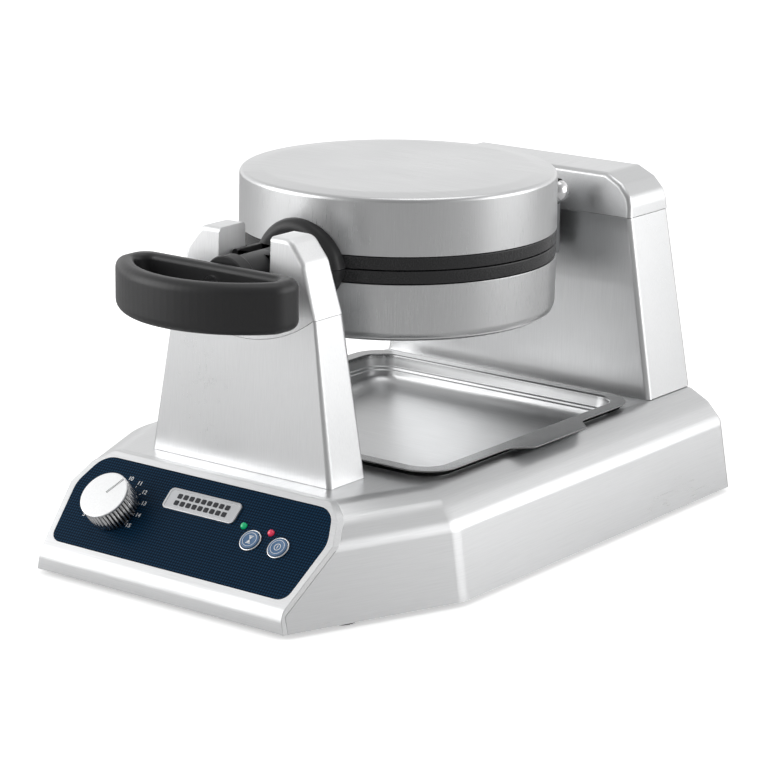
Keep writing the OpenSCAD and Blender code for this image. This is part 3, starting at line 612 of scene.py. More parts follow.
# ---------------------------------------------------------------- operators
class BAKER_OT_finishes(bpy.types.Operator):
    """Makes every finish and gives the frame's own parts theirs"""
    bl_idname = "baker.finishes"
    bl_label = "Finishes"

    def execute(self, context):
        c = context.scene.baker_colours
        steel = tuple(c.steel)
        FINISHES.update({
            "brushed_steel": brushed("brushed_steel", steel, (40, 40, 2300), (2300, 30, 60), 0.33, 0.22),
            "tower_steel": brushed("tower_steel", steel, (2300, 2300, 26), (2300, 30, 60), 0.32, 0.12),
            # The yoke's finish is a lighter, rougher copy of the steel: painted light that brightens the ears'
            # fronts
            "yoke_steel": brushed("yoke_steel", (0.9, 0.905, 0.91), (2300, 2300, 26), (2300, 30, 60),
                                  0.5, 0.06),
            "housing_steel": brushed("housing_steel", shaded(steel, 0.96), (2600, 2600, 60), (22, 1900, 60),
                                     0.31, 0.05),
            "polished_steel": polished("polished_steel", (0.86, 0.865, 0.87), 0.11),
            "tray_steel": pressed("tray_steel", (0.60, 0.605, 0.61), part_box("drip_tray")[1].z),
            "badge_metal": brushed("badge_metal", (0.56, 0.57, 0.585), (900, 26, 26), (900, 26, 26),
                                   0.38, 0.06),
            "satin_trim": brushed("satin_trim", tuple(c.trim), (26, 1800, 1800), (26, 1800, 1800),
                                  0.5, 0.06),
            "handle_black": moulded("handle_black", tuple(c.plastic), 0.42),
            "rim_black": moulded("rim_black", tuple(c.rim), 0.26, 1500, 0.03),
            "overlay_navy": woven_film("overlay_navy", tuple(c.panel), 1.9 * MM),
            "foot_rubber": soft_rubber("foot_rubber", (0.02, 0.02, 0.02)),
            "washer_black": soft_rubber("washer_black", (0.015, 0.015, 0.015)),
            "grid_coating": cast("grid_coating", (0.045, 0.045, 0.05), 0.35, 0.42),
            "cast_aluminium": cast("cast_aluminium", (0.50, 0.51, 0.52), 1.0, 0.48),
            "bushing_bronze": polished("bushing_bronze", (0.62, 0.44, 0.2), 0.28),
            "bright_hardware": polished("bright_hardware", (0.84, 0.84, 0.85), 0.16),
            "knob_grip": ribbed("knob_grip", (0.74, 0.74, 0.75), 15.7 * MM),
            "knob_face": brushed("knob_face", (0.92, 0.925, 0.93), (900, 900, 900), (900, 900, 900),
                                 0.4, 0.05),
            "button_blue": moulded("button_blue", tuple(c.button), 0.33, 1400, 0.06, (0.4, 0.5, 0.62)),
            "led_green": lamp_lens("led_green", tuple(c.ready), 0.35),
            "led_red": lamp_lens("led_red", tuple(c.power), 0.45),
            "board_green": circuit_board("board_green", (0.02, 0.16, 0.07)),
            "switch_black": moulded("switch_black", (0.03, 0.03, 0.033), 0.42),
            "terminal_cream": moulded("terminal_cream", (0.66, 0.62, 0.5), 0.45, 1800, 0.15,
                                      (0.8, 0.77, 0.68)),
            "element_sheath": cast("element_sheath", (0.22, 0.19, 0.18), 1.0, 0.5, 0.2),
            "insulation": mineral_wool("insulation", (0.72, 0.69, 0.6)),
            "thermostat_steel": brushed("thermostat_steel", (0.6, 0.6, 0.6), (900, 900, 60), (900, 60, 60),
                                        0.36, 0.15),
            "white_print": printed("white_print", (0.86, 0.88, 0.9)),
            "dark_print": printed("dark_print", (0.012, 0.014, 0.02)),
        })
        for part in frame["record"]["subparts"]:
            for slot in NODES[part["node"]].material_slots:
                slot.material = finish_of(part["material_slot"])
        return {"FINISHED"}


def underside(e):
    """Whether an edge borders a face that looks down."""
    return any(n.z < -0.5 for n in normals(e))


def faces_panel(e):
    """Whether an edge borders the base's front, which the panel surround covers."""
    slope = Vector((0, -sin(PANEL_TURN), cos(PANEL_TURN)))
    return any(n.dot(slope) > 0.995 or n.y < -0.999 for n in normals(e))


class BAKER_OT_base(bpy.types.Operator):
    """Builds the folded base, its well, its bottom cover and its feet"""
    bl_idname = "baker.base"
    bl_label = "Base"

    def execute(self, context):
        s = context.scene.baker_sheet
        steel = finish_of("brushed_steel")
        eased("folded_base", "base_shell", "root", steel, [
            (s.base_round, 4, dict(least_turn=10, least_area=700,
                                   test=lambda e: not faces_panel(e) and not underside(e))),
            (s.fine_round, 2, dict(least_turn=25, least_area=60, test=faces_panel))])
        eased("drip_well", "well_pan", "root", steel,
              [(0.4 * MM, 2, dict(least_turn=30, least_area=30))])
        eased("bottom_cover", "base_pan", "root", steel,
              [(0.3 * MM, 1, dict(least_turn=30, least_area=300))])
        rubber = finish_of("foot_rubber")
        for node in ("foot_front_left", "foot_front_right", "foot_rear_left", "foot_rear_right"):
            low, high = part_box(node)
            place_at = Matrix.Translation(((low.x + high.x) / 2, (low.y + high.y) / 2, low.z))
            outer, tall = (high.x - low.x) / 2, high.z - low.z
            bore, seat, recess, chamfer = 2.1 * MM, 4.5 * MM, 1.4 * MM, 1 * MM
            bm = turned([(bore, recess), (seat, recess), (seat, 0), (outer - chamfer, 0), (outer, chamfer),
                         (outer, tall), (bore, tall)], 64,
                        [((outer - chamfer, 0), 0.5 * MM, 3), ((outer, chamfer), 0.4 * MM, 2),
                         ((seat, 0), 0.3 * MM, 2)], closed=True)
            place(bm, place_at)
            finish("rubber_" + node, bm, "root", rubber, (node,))
        return {"FINISHED"}


def upright(e):
    return abs(edge_line(e).z) > 0.8


class BAKER_OT_towers(bpy.types.Operator):
    """Builds the front tower with its yoke and saddle, and the rear tower with its cap"""
    bl_idname = "baker.towers"
    bl_label = "Towers"

    def execute(self, context):
        s = context.scene.baker_sheet
        steel = finish_of("tower_steel")
        for name, node in (("front_tower_column", "front_tower"), ("rear_tower_column", "rear_tower")):
            eased(name, node, "root", steel, [
                (s.tower_round, 5, dict(least_turn=30, least_area=700, test=upright)),
                (s.fine_round, 2, dict(least_turn=30, least_area=40, test=lambda e: not upright(e)))])

        def yoke_outer(e):
            return (abs(edge_middle(e).x) > NOTCH_HALF and any(abs(n.y) > 0.9 for n in normals(e))
                    and all(n.z > -0.3 for n in normals(e)))

        eased("shaft_yoke", "front_yoke", "root", finish_of("yoke_steel"), [
            (s.yoke_round, 5, dict(least_turn=30, test=yoke_outer)),
            (0.7 * MM, 3, dict(least_turn=30, least_area=20, test=lambda e: abs(edge_middle(e).x) < NOTCH_HALF))])
        self.rear_cap(s, steel)
        eased("shaft_cradle", "shaft_saddle", "root", finish_of("handle_black"),
              [(context.scene.baker_handle.saddle_round, 3, dict(least_turn=40, least_area=10))])
        eased("spindle_plate", "spindle_flange", "root", finish_of("handle_black"),
              [(0.8 * MM, 3, dict(least_turn=40))])
        return {"FINISHED"}

    def rear_cap(self, s, steel):
        low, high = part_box("rear_cap")
        half, lean = high.x, 5.7 * MM
        bm = bmesh.new()
        side = [(half, low.z), (half - 1.1 * MM, low.z + 7.4 * MM), (half - 3.3 * MM, low.z + 13.2 * MM),
                (half - 11.0 * MM, high.z - 5.9 * MM), (half - 23.4 * MM, high.z)]
        face = outline(bm, [(x, low.y, z) for x, z in side] + [(-x, low.y, z) for x, z in reversed(side)])
        thickened(bm, [face], (0, high.y - low.y, 0))
        outward(bm)
        rise = high.z - low.z
        for v in bm.verts:
            if v.co.y < middle("rear_cap").y:
                v.co.y += lean * (v.co.z - low.z) / rise
        bmesh.ops.delete(bm, geom=[f for f in bm.faces if f.normal.z < -0.99], context="FACES")
        bevel(bm, [e for e in bm.edges if len(e.link_faces) == 2 and any(abs(n.y) > 0.9 for n in normals(e))],
              s.cap_round, 5)
        ridges = [e for e in bm.edges if len(e.link_faces) == 2 and abs(edge_line(e).y) > 0.99
                  and e.calc_face_angle(0) > radians(8) and e.calc_length() > 20 * MM]
        bevel(bm, ridges, 1.6 * MM, 3)
        # The notch over the spindle, cut in the front wall
        bore = 16.5 * MM
        for at, way in (((bore, 0, 0), (1, 0, 0)), ((-bore, 0, 0), (1, 0, 0)), ((0, 0, AXIS_Z + bore), (0, 0, 1))):
            bmesh.ops.bisect_plane(bm, geom=bm.verts[:] + bm.edges[:] + bm.faces[:], plane_co=at, plane_no=way)

        def in_notch(f):
            spot = f.calc_center_median()
            return spot.y < low.y + 12 * MM and abs(spot.x) < bore and spot.z < AXIS_Z + bore

        bmesh.ops.delete(bm, geom=[f for f in bm.faces if in_notch(f)], context="FACES")
        outward(bm)
        bmesh.ops.solidify(bm, geom=bm.faces[:], thickness=SHEET)
        finish("rear_tower_cap", bm, "root", steel, ("rear_cap",))


class BAKER_OT_plates(bpy.types.Operator):
    """Builds the two housings, their rims and hubs, and the waffle grids"""
    bl_idname = "baker.plates"
    bl_label = "Plates"

    def execute(self, context):
        p = context.scene.baker_plates
        low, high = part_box("upper_housing")
        radius = (high.x - low.x) / 2
        bottom, top = low.z - AXIS_Z, high.z - AXIS_Z
        rim_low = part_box("upper_rim")[0].z - AXIS_Z
        rim_radius, rim_top, tongue = radius - 0.3 * MM, bottom - 0.5 * MM, bottom + 4 * MM
        for half, body, sign in (("upper", "lid", 1), ("lower", "rotor", -1)):
            set_in = Matrix.Translation(PLATES) @ Matrix.Diagonal((1, 1, sign, 1))
            edge = top - p.crown_fall
            edge_round = p.edge_round if sign > 0 else p.lower_edge_round
            draft = 0.4 * MM
            outer = [(0, top), (p.crown_radius, top), (radius - draft, edge), (radius, bottom)]
            inner = [(radius - SHEET, bottom), (radius - SHEET - draft, edge - SHEET),
                     (p.crown_radius, top - SHEET), (0, top - SHEET)]
            bm = turned(outer + inner, p.turning_steps, [
                ((radius - draft, edge), edge_round, 6), ((p.crown_radius, top), 1.6 * MM, 3),
                ((radius, bottom), 0.35 * MM, 2), ((radius - SHEET, bottom), 0.3 * MM, 1)])
            self.set_piece(half + "_plate_housing", bm, set_in, body, "brushed_steel", "housing_steel",
                           (half + "_housing",))
            step = radius - 2.4 * MM
            bm = turned([(GRID_RADIUS, rim_low), (rim_radius, rim_low), (rim_radius, rim_top), (step, rim_top),
                         (step, tongue), (GRID_RADIUS, tongue)], p.turning_steps, [
                ((rim_radius, rim_low), 0.7 * MM, 3), ((rim_radius, rim_top), 0.6 * MM, 3),
                ((GRID_RADIUS, rim_low), 1.0 * MM, 3)], closed=True)
            self.set_piece(half + "_plate_rim", bm, set_in, body, "rim_black", "rim_black", (half + "_rim",))
            bm = merged_copy(half + "_grid")
            bevel(bm, corner_edges(bm, 30, 20), p.stud_round, 3)
            finish(half + "_waffle_grid", bm, body, finish_of("grid_coating"),
                   (half + "_grid",))
            eased(half + "_hub_shell", half + "_hub", body, finish_of("handle_black"),
                  [(p.hub_round, 3, dict(least_turn=40, least_area=8))])
        return {"FINISHED"}

    def set_piece(self, name, bm, matrix, body, slot, material, nodes):
        place(bm, matrix)
        outward(bm)
        finish(name, bm, body, finish_of(material), nodes)


class BAKER_OT_hinge(bpy.types.Operator):
    """Builds the castings behind the plates with their pin, washers and dome nuts"""
    bl_idname = "baker.hinge"
    bl_label = "Hinge"

    def execute(self, context):
        metal = finish_of("cast_aluminium")
        eased("plate_carrier", "carrier", "rotor", metal,
              [(0.7 * MM, 2, dict(least_turn=35, least_area=30))])
        eased("lid_arm_castings", "lid_arms", "lid", metal,
              [(0.8 * MM, 2, dict(least_turn=35, least_area=30))])
        eased("hinge_rod", "hinge_pin", "rotor", finish_of("bright_hardware"),
              [(0.5 * MM, 2, dict(least_turn=40))])
        eased("rubber_washers", "hinge_washers", "rotor", finish_of("washer_black"),
              [(0.35 * MM, 2, dict(least_turn=40))])
        self.dome_nuts()
        return {"FINISHED"}

    def dome_nuts(self):
        low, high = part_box("dome_nuts")
        hinge = middle("hinge_pin")
        radius = (high.z - low.z) / 2
        tall, skirt, depth, bore = 6.6 * MM, 2.2 * MM, 1.1 * MM, 4.05 * MM
        out = high.x - tall
        whole = bmesh.new()
        for side in (1, -1):
            bm = turned([(bore, 0), (radius, 0), (radius, skirt), (radius * 0.93, 2.6 * MM),
                         (radius * 0.82, 4.4 * MM), (radius * 0.55, 5.9 * MM), (radius * 0.25, 6.5 * MM),
                         (0, tall), (0, depth), (bore, depth)], 72,
                        [((radius, 0), 0.4 * MM, 2), ((radius, skirt), 0.3 * MM, 2)])
            place(bm, Matrix.Translation((side * out, hinge.y, hinge.z))
                  @ Matrix.Rotation(side * pi / 2, 4, "Y"))
            outward(bm)
            gather(whole, bm)
        outward(whole)
        finish("capped_nuts", whole, "rotor", finish_of("bright_hardware"), ("dome_nuts",),
               crease=50)


class BAKER_OT_handle(bpy.types.Operator):
    """Builds the loop handle and the shaft that carries it"""
    bl_idname = "baker.handle"
    bl_label = "Handle"

    def execute(self, context):
        h = context.scene.baker_handle
        black = finish_of("handle_black")
        centre = middle("handle")

        def rim_edge(e, outer):
            if not any(abs(n.z) > 0.95 for n in normals(e)):
                return False
            side = [n for n in normals(e) if abs(n.z) < 0.5]
            return bool(side) and (side[0].dot(edge_middle(e) - centre) > 0) == outer

        # The loop is its own top face drawn down again, without the bolt's seat in its inner wall
        bm = merged_copy("handle")
        low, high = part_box("handle")
        roof = [f for f in bm.faces if all(abs(v.co.z - high.z) < 1e-5 for v in f.verts)]
        bmesh.ops.delete(bm, geom=[f for f in bm.faces if f not in roof], context="FACES")
        thickened(bm, bm.faces[:], (0, 0, low.z - high.z))
        outward(bm)
        bevel(bm, corner_edges(bm, 60, test=lambda e: rim_edge(e, True)), h.outer_round, 7, clamp=False)
        bevel(bm, corner_edges(bm, 60, test=lambda e: rim_edge(e, False)), h.inner_round, 6, clamp=False)
        finish("loop_handle", bm, "lid", black, ("handle",), crease=40)
        low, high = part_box("handle_shaft")
        neck, neck_end, radius = (high.x - low.x) / 2, 9.8 * MM, SHAFT_RADIUS
        end = high.y - low.y
        profile = [(BOLT_BORE, 0), (neck, 0), (neck, neck_end), (radius, 11.5 * MM)]
        # Two fine grooves run round the shaft's thick part
        for y in (39 * MM, 41.6 * MM):
            profile += [(radius, y), (radius - 0.5 * MM, y + 0.3 * MM), (radius - 0.5 * MM, y + 0.9 * MM),
                        (radius, y + 1.2 * MM)]
        profile += [(radius, end), (BOLT_BORE, end)]
        bm = turned(profile, 96, [((neck, 0), 0.8 * MM, 3), ((neck, neck_end), 1.0 * MM, 3),
                                  ((radius, end), 0.6 * MM, 2)], closed=True)
        place(bm, Matrix.Translation((0, low.y, AXIS_Z)) @ ALONG_Y)
        outward(bm)
        finish("grip_shaft", bm, "lid", black, ("handle_shaft",))
        return {"FINISHED"}


def over_lip(e):
    """Whether an edge lies along the bend between the panel surround's upright lip and its slope."""
    return abs(edge_line(e).x) > 0.99 and abs(edge_middle(e).z - FASCIA_LOW.z - LIP_HEIGHT) < 1 * MM


class BAKER_OT_panel_front(bpy.types.Operator):
    """Builds the panel surround, the badge, and the printed dial and marks"""
    bl_idname = "baker.panel_front"
    bl_label = "Panel"

    def execute(self, context):
        s, c = context.scene.baker_sheet, context.scene.baker_controls
        eased("panel_surround", "front_fascia", "root", finish_of("satin_trim"), [
            (s.trim_round, 4, dict(least_turn=20, least_area=300, test=over_lip)),
            (0.35 * MM, 2, dict(least_turn=30, least_area=12, test=lambda e: not over_lip(e)))])
        self.badge()
        self.dial(c)
        return {"FINISHED"}

    def badge(self):
        across, up = panel_place("badge_plate")
        half_x, half_y, thick = 28.3 * MM, 7.5 * MM, 1.2 * MM
        at = on_panel(across, up, 0.05 * MM)
        bm = bmesh.new()
        rounded_plate(bm, half_x, half_y, 3.2 * MM, thick)
        bevel(bm, [e for e in bm.edges if all(abs(v.co.z - thick) < 1e-6 for v in e.verts)], 0.35 * MM, 3)
        top = [max(bm.faces, key=lambda f: f.calc_area() * (f.normal.z > 0.9))]
        bmesh.ops.inset_region(bm, faces=top, thickness=1.0 * MM, depth=0.0, use_even_offset=True)
        bmesh.ops.inset_region(bm, faces=top, thickness=0.25 * MM, depth=-0.35 * MM, use_even_offset=True)
        place(bm, at)
        finish("badge_body", bm, "root", finish_of("badge_metal"), ("badge_plate",))
        # Waffle pockets in two rows, standing in the badge's field
        whole = bmesh.new()
        for column in range(-4, 5):
            for row in (-1, 1):
                block(whole, (3.4 * MM, 3.4 * MM, 0.3 * MM),
                      (column * 4.7 * MM, row * 2.45 * MM, thick - 0.25 * MM))
        bevel(whole, [e for e in whole.edges if abs(edge_line(e).z) > 0.9], 0.7 * MM, 3)
        bevel(whole, [e for e in whole.edges if all(v.co.z > thick - 0.2 * MM for v in e.verts)
                      and len(e.link_faces) == 2 and e.calc_face_angle(0) > 1], 0.08 * MM, 2)
        place(whole, at)
        finish("badge_pockets", whole, "root", finish_of("dark_print"))

    def dial(self, c):
        across, up = panel_place("timer_knob")
        # The printed ring is centred a little up the slope from the knob's shaft
        centre = (across - 2.2 * MM, up + 1.9 * MM)
        face = 0.03 * MM
        first_turn, sweep = -120, 240
        step = sweep / (c.last_value - c.first_value)
        whole = bmesh.new()
        for value in range(c.first_value, c.last_value + 1):
            turn = radians(first_turn + step * (value - c.first_value))
            way = Vector((sin(turn), cos(turn)))
            spot = Vector(centre) + way * c.dial_radius
            self.numeral(whole, str(value), on_panel(spot.x, spot.y, face), c.numeral)
            tick = Vector(centre) + way * (c.dial_radius - 3.1 * MM)
            made = block(whole, (0.35 * MM, 1.3 * MM, 0.04 * MM))
            bmesh.ops.rotate(whole, verts=made, cent=(0, 0, 0), matrix=Matrix.Rotation(-turn, 3, "Z"))
            bmesh.ops.transform(whole, verts=made, matrix=on_panel(tick.x, tick.y, face))
        finish("dial_print", whole, "root", finish_of("white_print"), even=False)

    def numeral(self, bm, text, matrix, height):
        curve = bpy.data.curves.new("numeral", "FONT")
        curve.body, curve.size = text, height
        curve.align_x, curve.align_y = "CENTER", "CENTER"
        curve.extrude, curve.resolution_u, curve.offset = 0.02 * MM, 3, 0.07 * MM
        letter = bpy.data.objects.new("numeral", curve)
        mesh = bpy.data.meshes.new_from_object(letter)
        mesh.transform(matrix)
        bm.from_mesh(mesh)
        for block, thing in ((bpy.data.objects, letter), (bpy.data.curves, curve), (bpy.data.meshes, mesh)):
            block.remove(thing)


class BAKER_OT_controls(bpy.types.Operator):
    """Builds the timer knob, the push buttons with their rings and symbols, and the lamps"""
    bl_idname = "baker.controls"
    bl_label = "Controls"

    def execute(self, context):
        c = context.scene.baker_controls
        self.knob(c)
        for node, symbol in (("start_button", self.hourglass), ("standby_button", self.standby_mark)):
            self.button(node, symbol)
        self.rings()
        for node in ("led_green", "led_red"):
            across, up = panel_place(node)
            radius = LED_RADIUS
            bm = turned([(radius, -6 * MM), (radius, 0.4 * MM), (radius * 0.9, 1.15 * MM),
                         (radius * 0.62, 1.62 * MM), (radius * 0.3, 1.8 * MM), (0, 1.84 * MM)], 40)
            place(bm, on_panel(across, up))
            finish(node + "_lens", bm, "root", finish_of(node), (node,), crease=60)
        return {"FINISHED"}

    def knob(self, c):
        across, up = panel_place("knob_cap")
        radius, foot, top, chamfer = KNOB_RADIUS, 0.6 * MM, KNOB_HEIGHT, 0.6 * MM
        bm = bmesh.new()
        made = bmesh.ops.create_circle(bm, segments=4 * c.ribs, radius=radius, cap_ends=True)["verts"]
        bm.verts.ensure_lookup_table()
        ringed = sorted(made, key=lambda v: atan2(v.co.y, v.co.x))
        grooves = [v for i, v in enumerate(ringed) if i % 4 > 1]
        share = (radius - c.rib_depth) / radius
        bmesh.ops.scale(bm, verts=grooves, vec=(share, share, 1))
        bmesh.ops.translate(bm, verts=bm.verts, vec=(0, 0, foot))
        upper = thickened(bm, bm.faces[:], (0, 0, top - foot - chamfer))
        crown = [f for f in bm.faces if all(v in upper for v in f.verts)]
        bmesh.ops.scale(bm, verts=thickened(bm, crown, (0, 0, chamfer)), vec=(0.97, 0.97, 1))
        outward(bm)
        place(bm, on_panel(across, up))
        finish("knob_skirt", bm, "knob", finish_of("knob_grip"), ("timer_knob",), crease=28)
        face, seat = top + 1.2 * MM, top + 0.05 * MM
        flat, side = radius - 0.7 * MM, radius - 0.2 * MM
        cap = turned([(0, face), (flat, face), (side, top + 0.8 * MM), (side, seat), (0, seat)], 120,
                     [((flat, face), 0.2 * MM, 2)])
        place(cap, on_panel(across, up))
        outward(cap)
        finish("knob_disc", cap, "knob", finish_of("knob_face"), ("knob_cap",), crease=25)
        # A pointer of short dashes from near the middle to the edge
        dashes = bmesh.new()
        turn = Matrix.Rotation(radians(-30), 4, "Z")
        for i in range(16):
            block(dashes, (1.7 * MM, 0.46 * MM, 0.05 * MM), (0, (2.4 + 0.84 * i) * MM, 0))
        place(dashes, on_panel(across, up, face) @ turn)
        finish("knob_pointer", dashes, "knob", finish_of("dark_print"), even=False)

    def button(self, node, symbol):
        across, up = self.place_of(node)
        radius, face = BUTTON_RADIUS, BUTTON_FACE
        dish, back, stem, tip = 4.9 * MM, face - 5 * MM, 2 * MM, -9.6 * MM
        bm = turned([(0, face - 0.35 * MM), (3.0 * MM, face - 0.28 * MM), (dish, face), (radius, face),
                     (radius, back), (stem, back), (stem, tip), (0, tip)], 96,
                    [((radius, face), 0.6 * MM, 4), ((dish, face), 0.5 * MM, 3), ((stem, tip), 0.3 * MM, 2)])
        place(bm, on_panel(across, up))
        outward(bm)
        body = "start_key" if node == "start_button" else "standby_key"
        finish(node + "_cap", bm, body, finish_of("button_blue"), (node,))
        mark = bmesh.new()
        symbol(mark)
        self.ring(mark, 4.5 * MM, 4.8 * MM)
        place(mark, on_panel(across, up, face - 0.22 * MM))
        finish(node + "_mark", mark, body, finish_of("white_print"), even=False)

    def place_of(self, node):
        """A button's place on the panel, from its own corners, because its upright box is off centre."""
        co = [on_panel(0, 0).inverted() @ v.co for v in NODES[node].data.vertices]
        xs, ys = [v.x for v in co], [v.y for v in co]
        return (min(xs) + max(xs)) / 2, (min(ys) + max(ys)) / 2

    def ring(self, bm, inner, outer, height=0.25 * MM):
        rim = bmesh.ops.create_circle(bm, segments=64, radius=outer)["verts"]
        hole = bmesh.ops.create_circle(bm, segments=64, radius=inner)["verts"]
        edges = list({e for v in rim + hole for e in v.link_edges})
        flat = bmesh.ops.bridge_loops(bm, edges=edges)["faces"]
        thickened(bm, flat, (0, 0, height))
        outward(bm)

    def hourglass(self, bm):
        for sign in (1, -1):
            half, tall = sign * 1.3 * MM, sign * 2.0 * MM
            face = outline(bm, [(0, -sign * 0.2 * MM, 0), (half, tall, 0), (-half, tall, 0)])
            thickened(bm, [face], (0, 0, 0.1 * MM))
            block(bm, (3.4 * MM, 0.45 * MM, 0.1 * MM), (0, sign * 2.5 * MM, 0.05 * MM))
        outward(bm)

    def standby_mark(self, bm):
        self.ring(bm, 1.9 * MM, 2.35 * MM, 0.1 * MM)
        block(bm, (0.5 * MM, 2.2 * MM, 0.1 * MM), (0, 0, 0.05 * MM))
        outward(bm)

    def rings(self):
        whole = bmesh.new()
        for node in ("start_button", "standby_button"):
            across, up = self.place_of(node)
            deep, seat = -4 * MM, 0.05 * MM
            bm = turned([(RING_BORE, deep), (RING_SEAT, deep), (RING_SEAT, seat), (RING_RADIUS, seat),
                         (RING_RADIUS, RING_HEIGHT), (RING_BORE, RING_HEIGHT)], 96,
                        [((RING_RADIUS, RING_HEIGHT), 0.4 * MM, 4), ((RING_BORE, RING_HEIGHT), 0.25 * MM, 3)],
                        closed=True)
            place(bm, on_panel(across, up))
            gather(whole, bm)
        outward(whole)
        finish("bright_rings", whole, "root", finish_of("bright_hardware"),
               ("button_rings",))


class BAKER_OT_tray(bpy.types.Operator):
    """Builds the drip tray: rolled rim with its side tab, beaded walls and coved floor"""
    bl_idname = "baker.tray"
    bl_label = "Drip tray"

    def execute(self, context):
        t = context.scene.baker_tray
        low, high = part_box("drip_tray")
        half_x, tab_x, y0, y1, top = -low.x, high.x, low.y, high.y, high.z
        centre = Vector((0, (y0 + y1) / 2, 0))
        half_y = (y1 - y0) / 2
        tab_start, tab_length, slant = y0 + 85 * MM, 71 * MM, 6 * MM
        tab_end = tab_start + tab_length
        bm = bmesh.new()
        rim = outline(bm, [(-half_x, y0, top), (half_x, y0, top), (half_x, tab_start - slant, top),
                           (tab_x, tab_start + slant, top), (tab_x, tab_end - slant, top),
                           (half_x, tab_end + slant, top), (half_x, y1, top), (-half_x, y1, top)])
        corners = [v for v in rim.verts if abs(abs(v.co.x) - half_x) < 1e-6
                   and min(abs(v.co.y - y0), abs(v.co.y - y1)) < 1e-6]
        tabs = [v for v in rim.verts if v not in corners]
        bevel_corners(bm, corners, t.corner, 10)
        bevel_corners(bm, [v for v in bm.verts if v in tabs], 3.0 * MM, 4)
        outer = list(bm.edges)
        bmesh.ops.delete(bm, geom=bm.faces[:], context="FACES_ONLY")
        inner_x, inner_y = half_x - t.lip, half_y - t.lip
        basin = outline(bm, [(-inner_x, centre.y - inner_y, top), (inner_x, centre.y - inner_y, top),
                             (inner_x, centre.y + inner_y, top), (-inner_x, centre.y + inner_y, top)])
        bevel_corners(bm, list(basin.verts), t.corner - t.lip + 2 * MM, 10)
        inner = list(max(bm.faces, key=lambda f: f.calc_area()).edges)
        bmesh.ops.triangle_fill(bm, edges=outer + inner, use_beauty=True, use_dissolve=True)
        bm.faces.ensure_lookup_table()
        basin = min((f for f in bm.faces if f.normal.length > 0 and abs(f.calc_center_median().x) < 1 * MM
                     and len(f.verts) == len(inner)), key=lambda f: f.calc_perimeter())
        # The wall's section in millimetres, in and down: a soft lip, two beads and a cove into the floor
        steps = [(0.35, 0.12), (0.45, 0.42), (0.3, 0.8), (0.9, 6.6), (0.35, 0.35), (0.9, 0.18), (0.3, 0.4),
                 (0.15, 1.0), (0.35, 0.3), (0.8, 0.18), (0.3, 0.4), (0.45, 2.2), (1.0, 1.9), (1.6, 1.6),
                 (2.2, 1.25), (2.8, 0.95), (3.4, 0.6), (4.0, 0.3)]
        for inward, down in steps:
            inner_x, inner_y = self.step_in(bm, basin, centre, inner_x, inner_y, inward * MM, down * MM)
        rim_out = [e for e in bm.edges if len(e.link_faces) == 1]
        made = bmesh.ops.extrude_edge_only(bm, edges=rim_out)["geom"]
        hem = [g for g in made if isinstance(g, bmesh.types.BMVert)]
        bmesh.ops.translate(bm, verts=hem, vec=(0, 0, -(t.hem - t.metal)))
        outward(bm)
        if basin.normal.z < 0:
            bmesh.ops.reverse_faces(bm, faces=bm.faces[:])
        bevel(bm, rim_out, 0.35 * MM, 3)
        bmesh.ops.solidify(bm, geom=bm.faces[:], thickness=t.metal)
        finish("drip_pan", bm, "tray", finish_of("tray_steel"), ("drip_tray",), crease=50,
               flat=lambda f: abs(f.normal.z) > 0.9999 and f.calc_center_median().z > top - 2 * t.metal)
        return {"FINISHED"}

    def step_in(self, bm, basin, centre, half_x, half_y, inward, down):
        """Draws the basin's floor in and down by one step of its wall, and returns its new half sizes."""
        bmesh.ops.inset_region(bm, faces=[basin], thickness=0.0, use_even_offset=True)
        share = ((half_x - inward) / half_x, (half_y - inward) / half_y, 1)
        bmesh.ops.scale(bm, verts=basin.verts, vec=share, space=Matrix.Translation(-centre))
        bmesh.ops.translate(bm, verts=basin.verts, vec=(0, 0, -down))
        return half_x - inward, half_y - inward


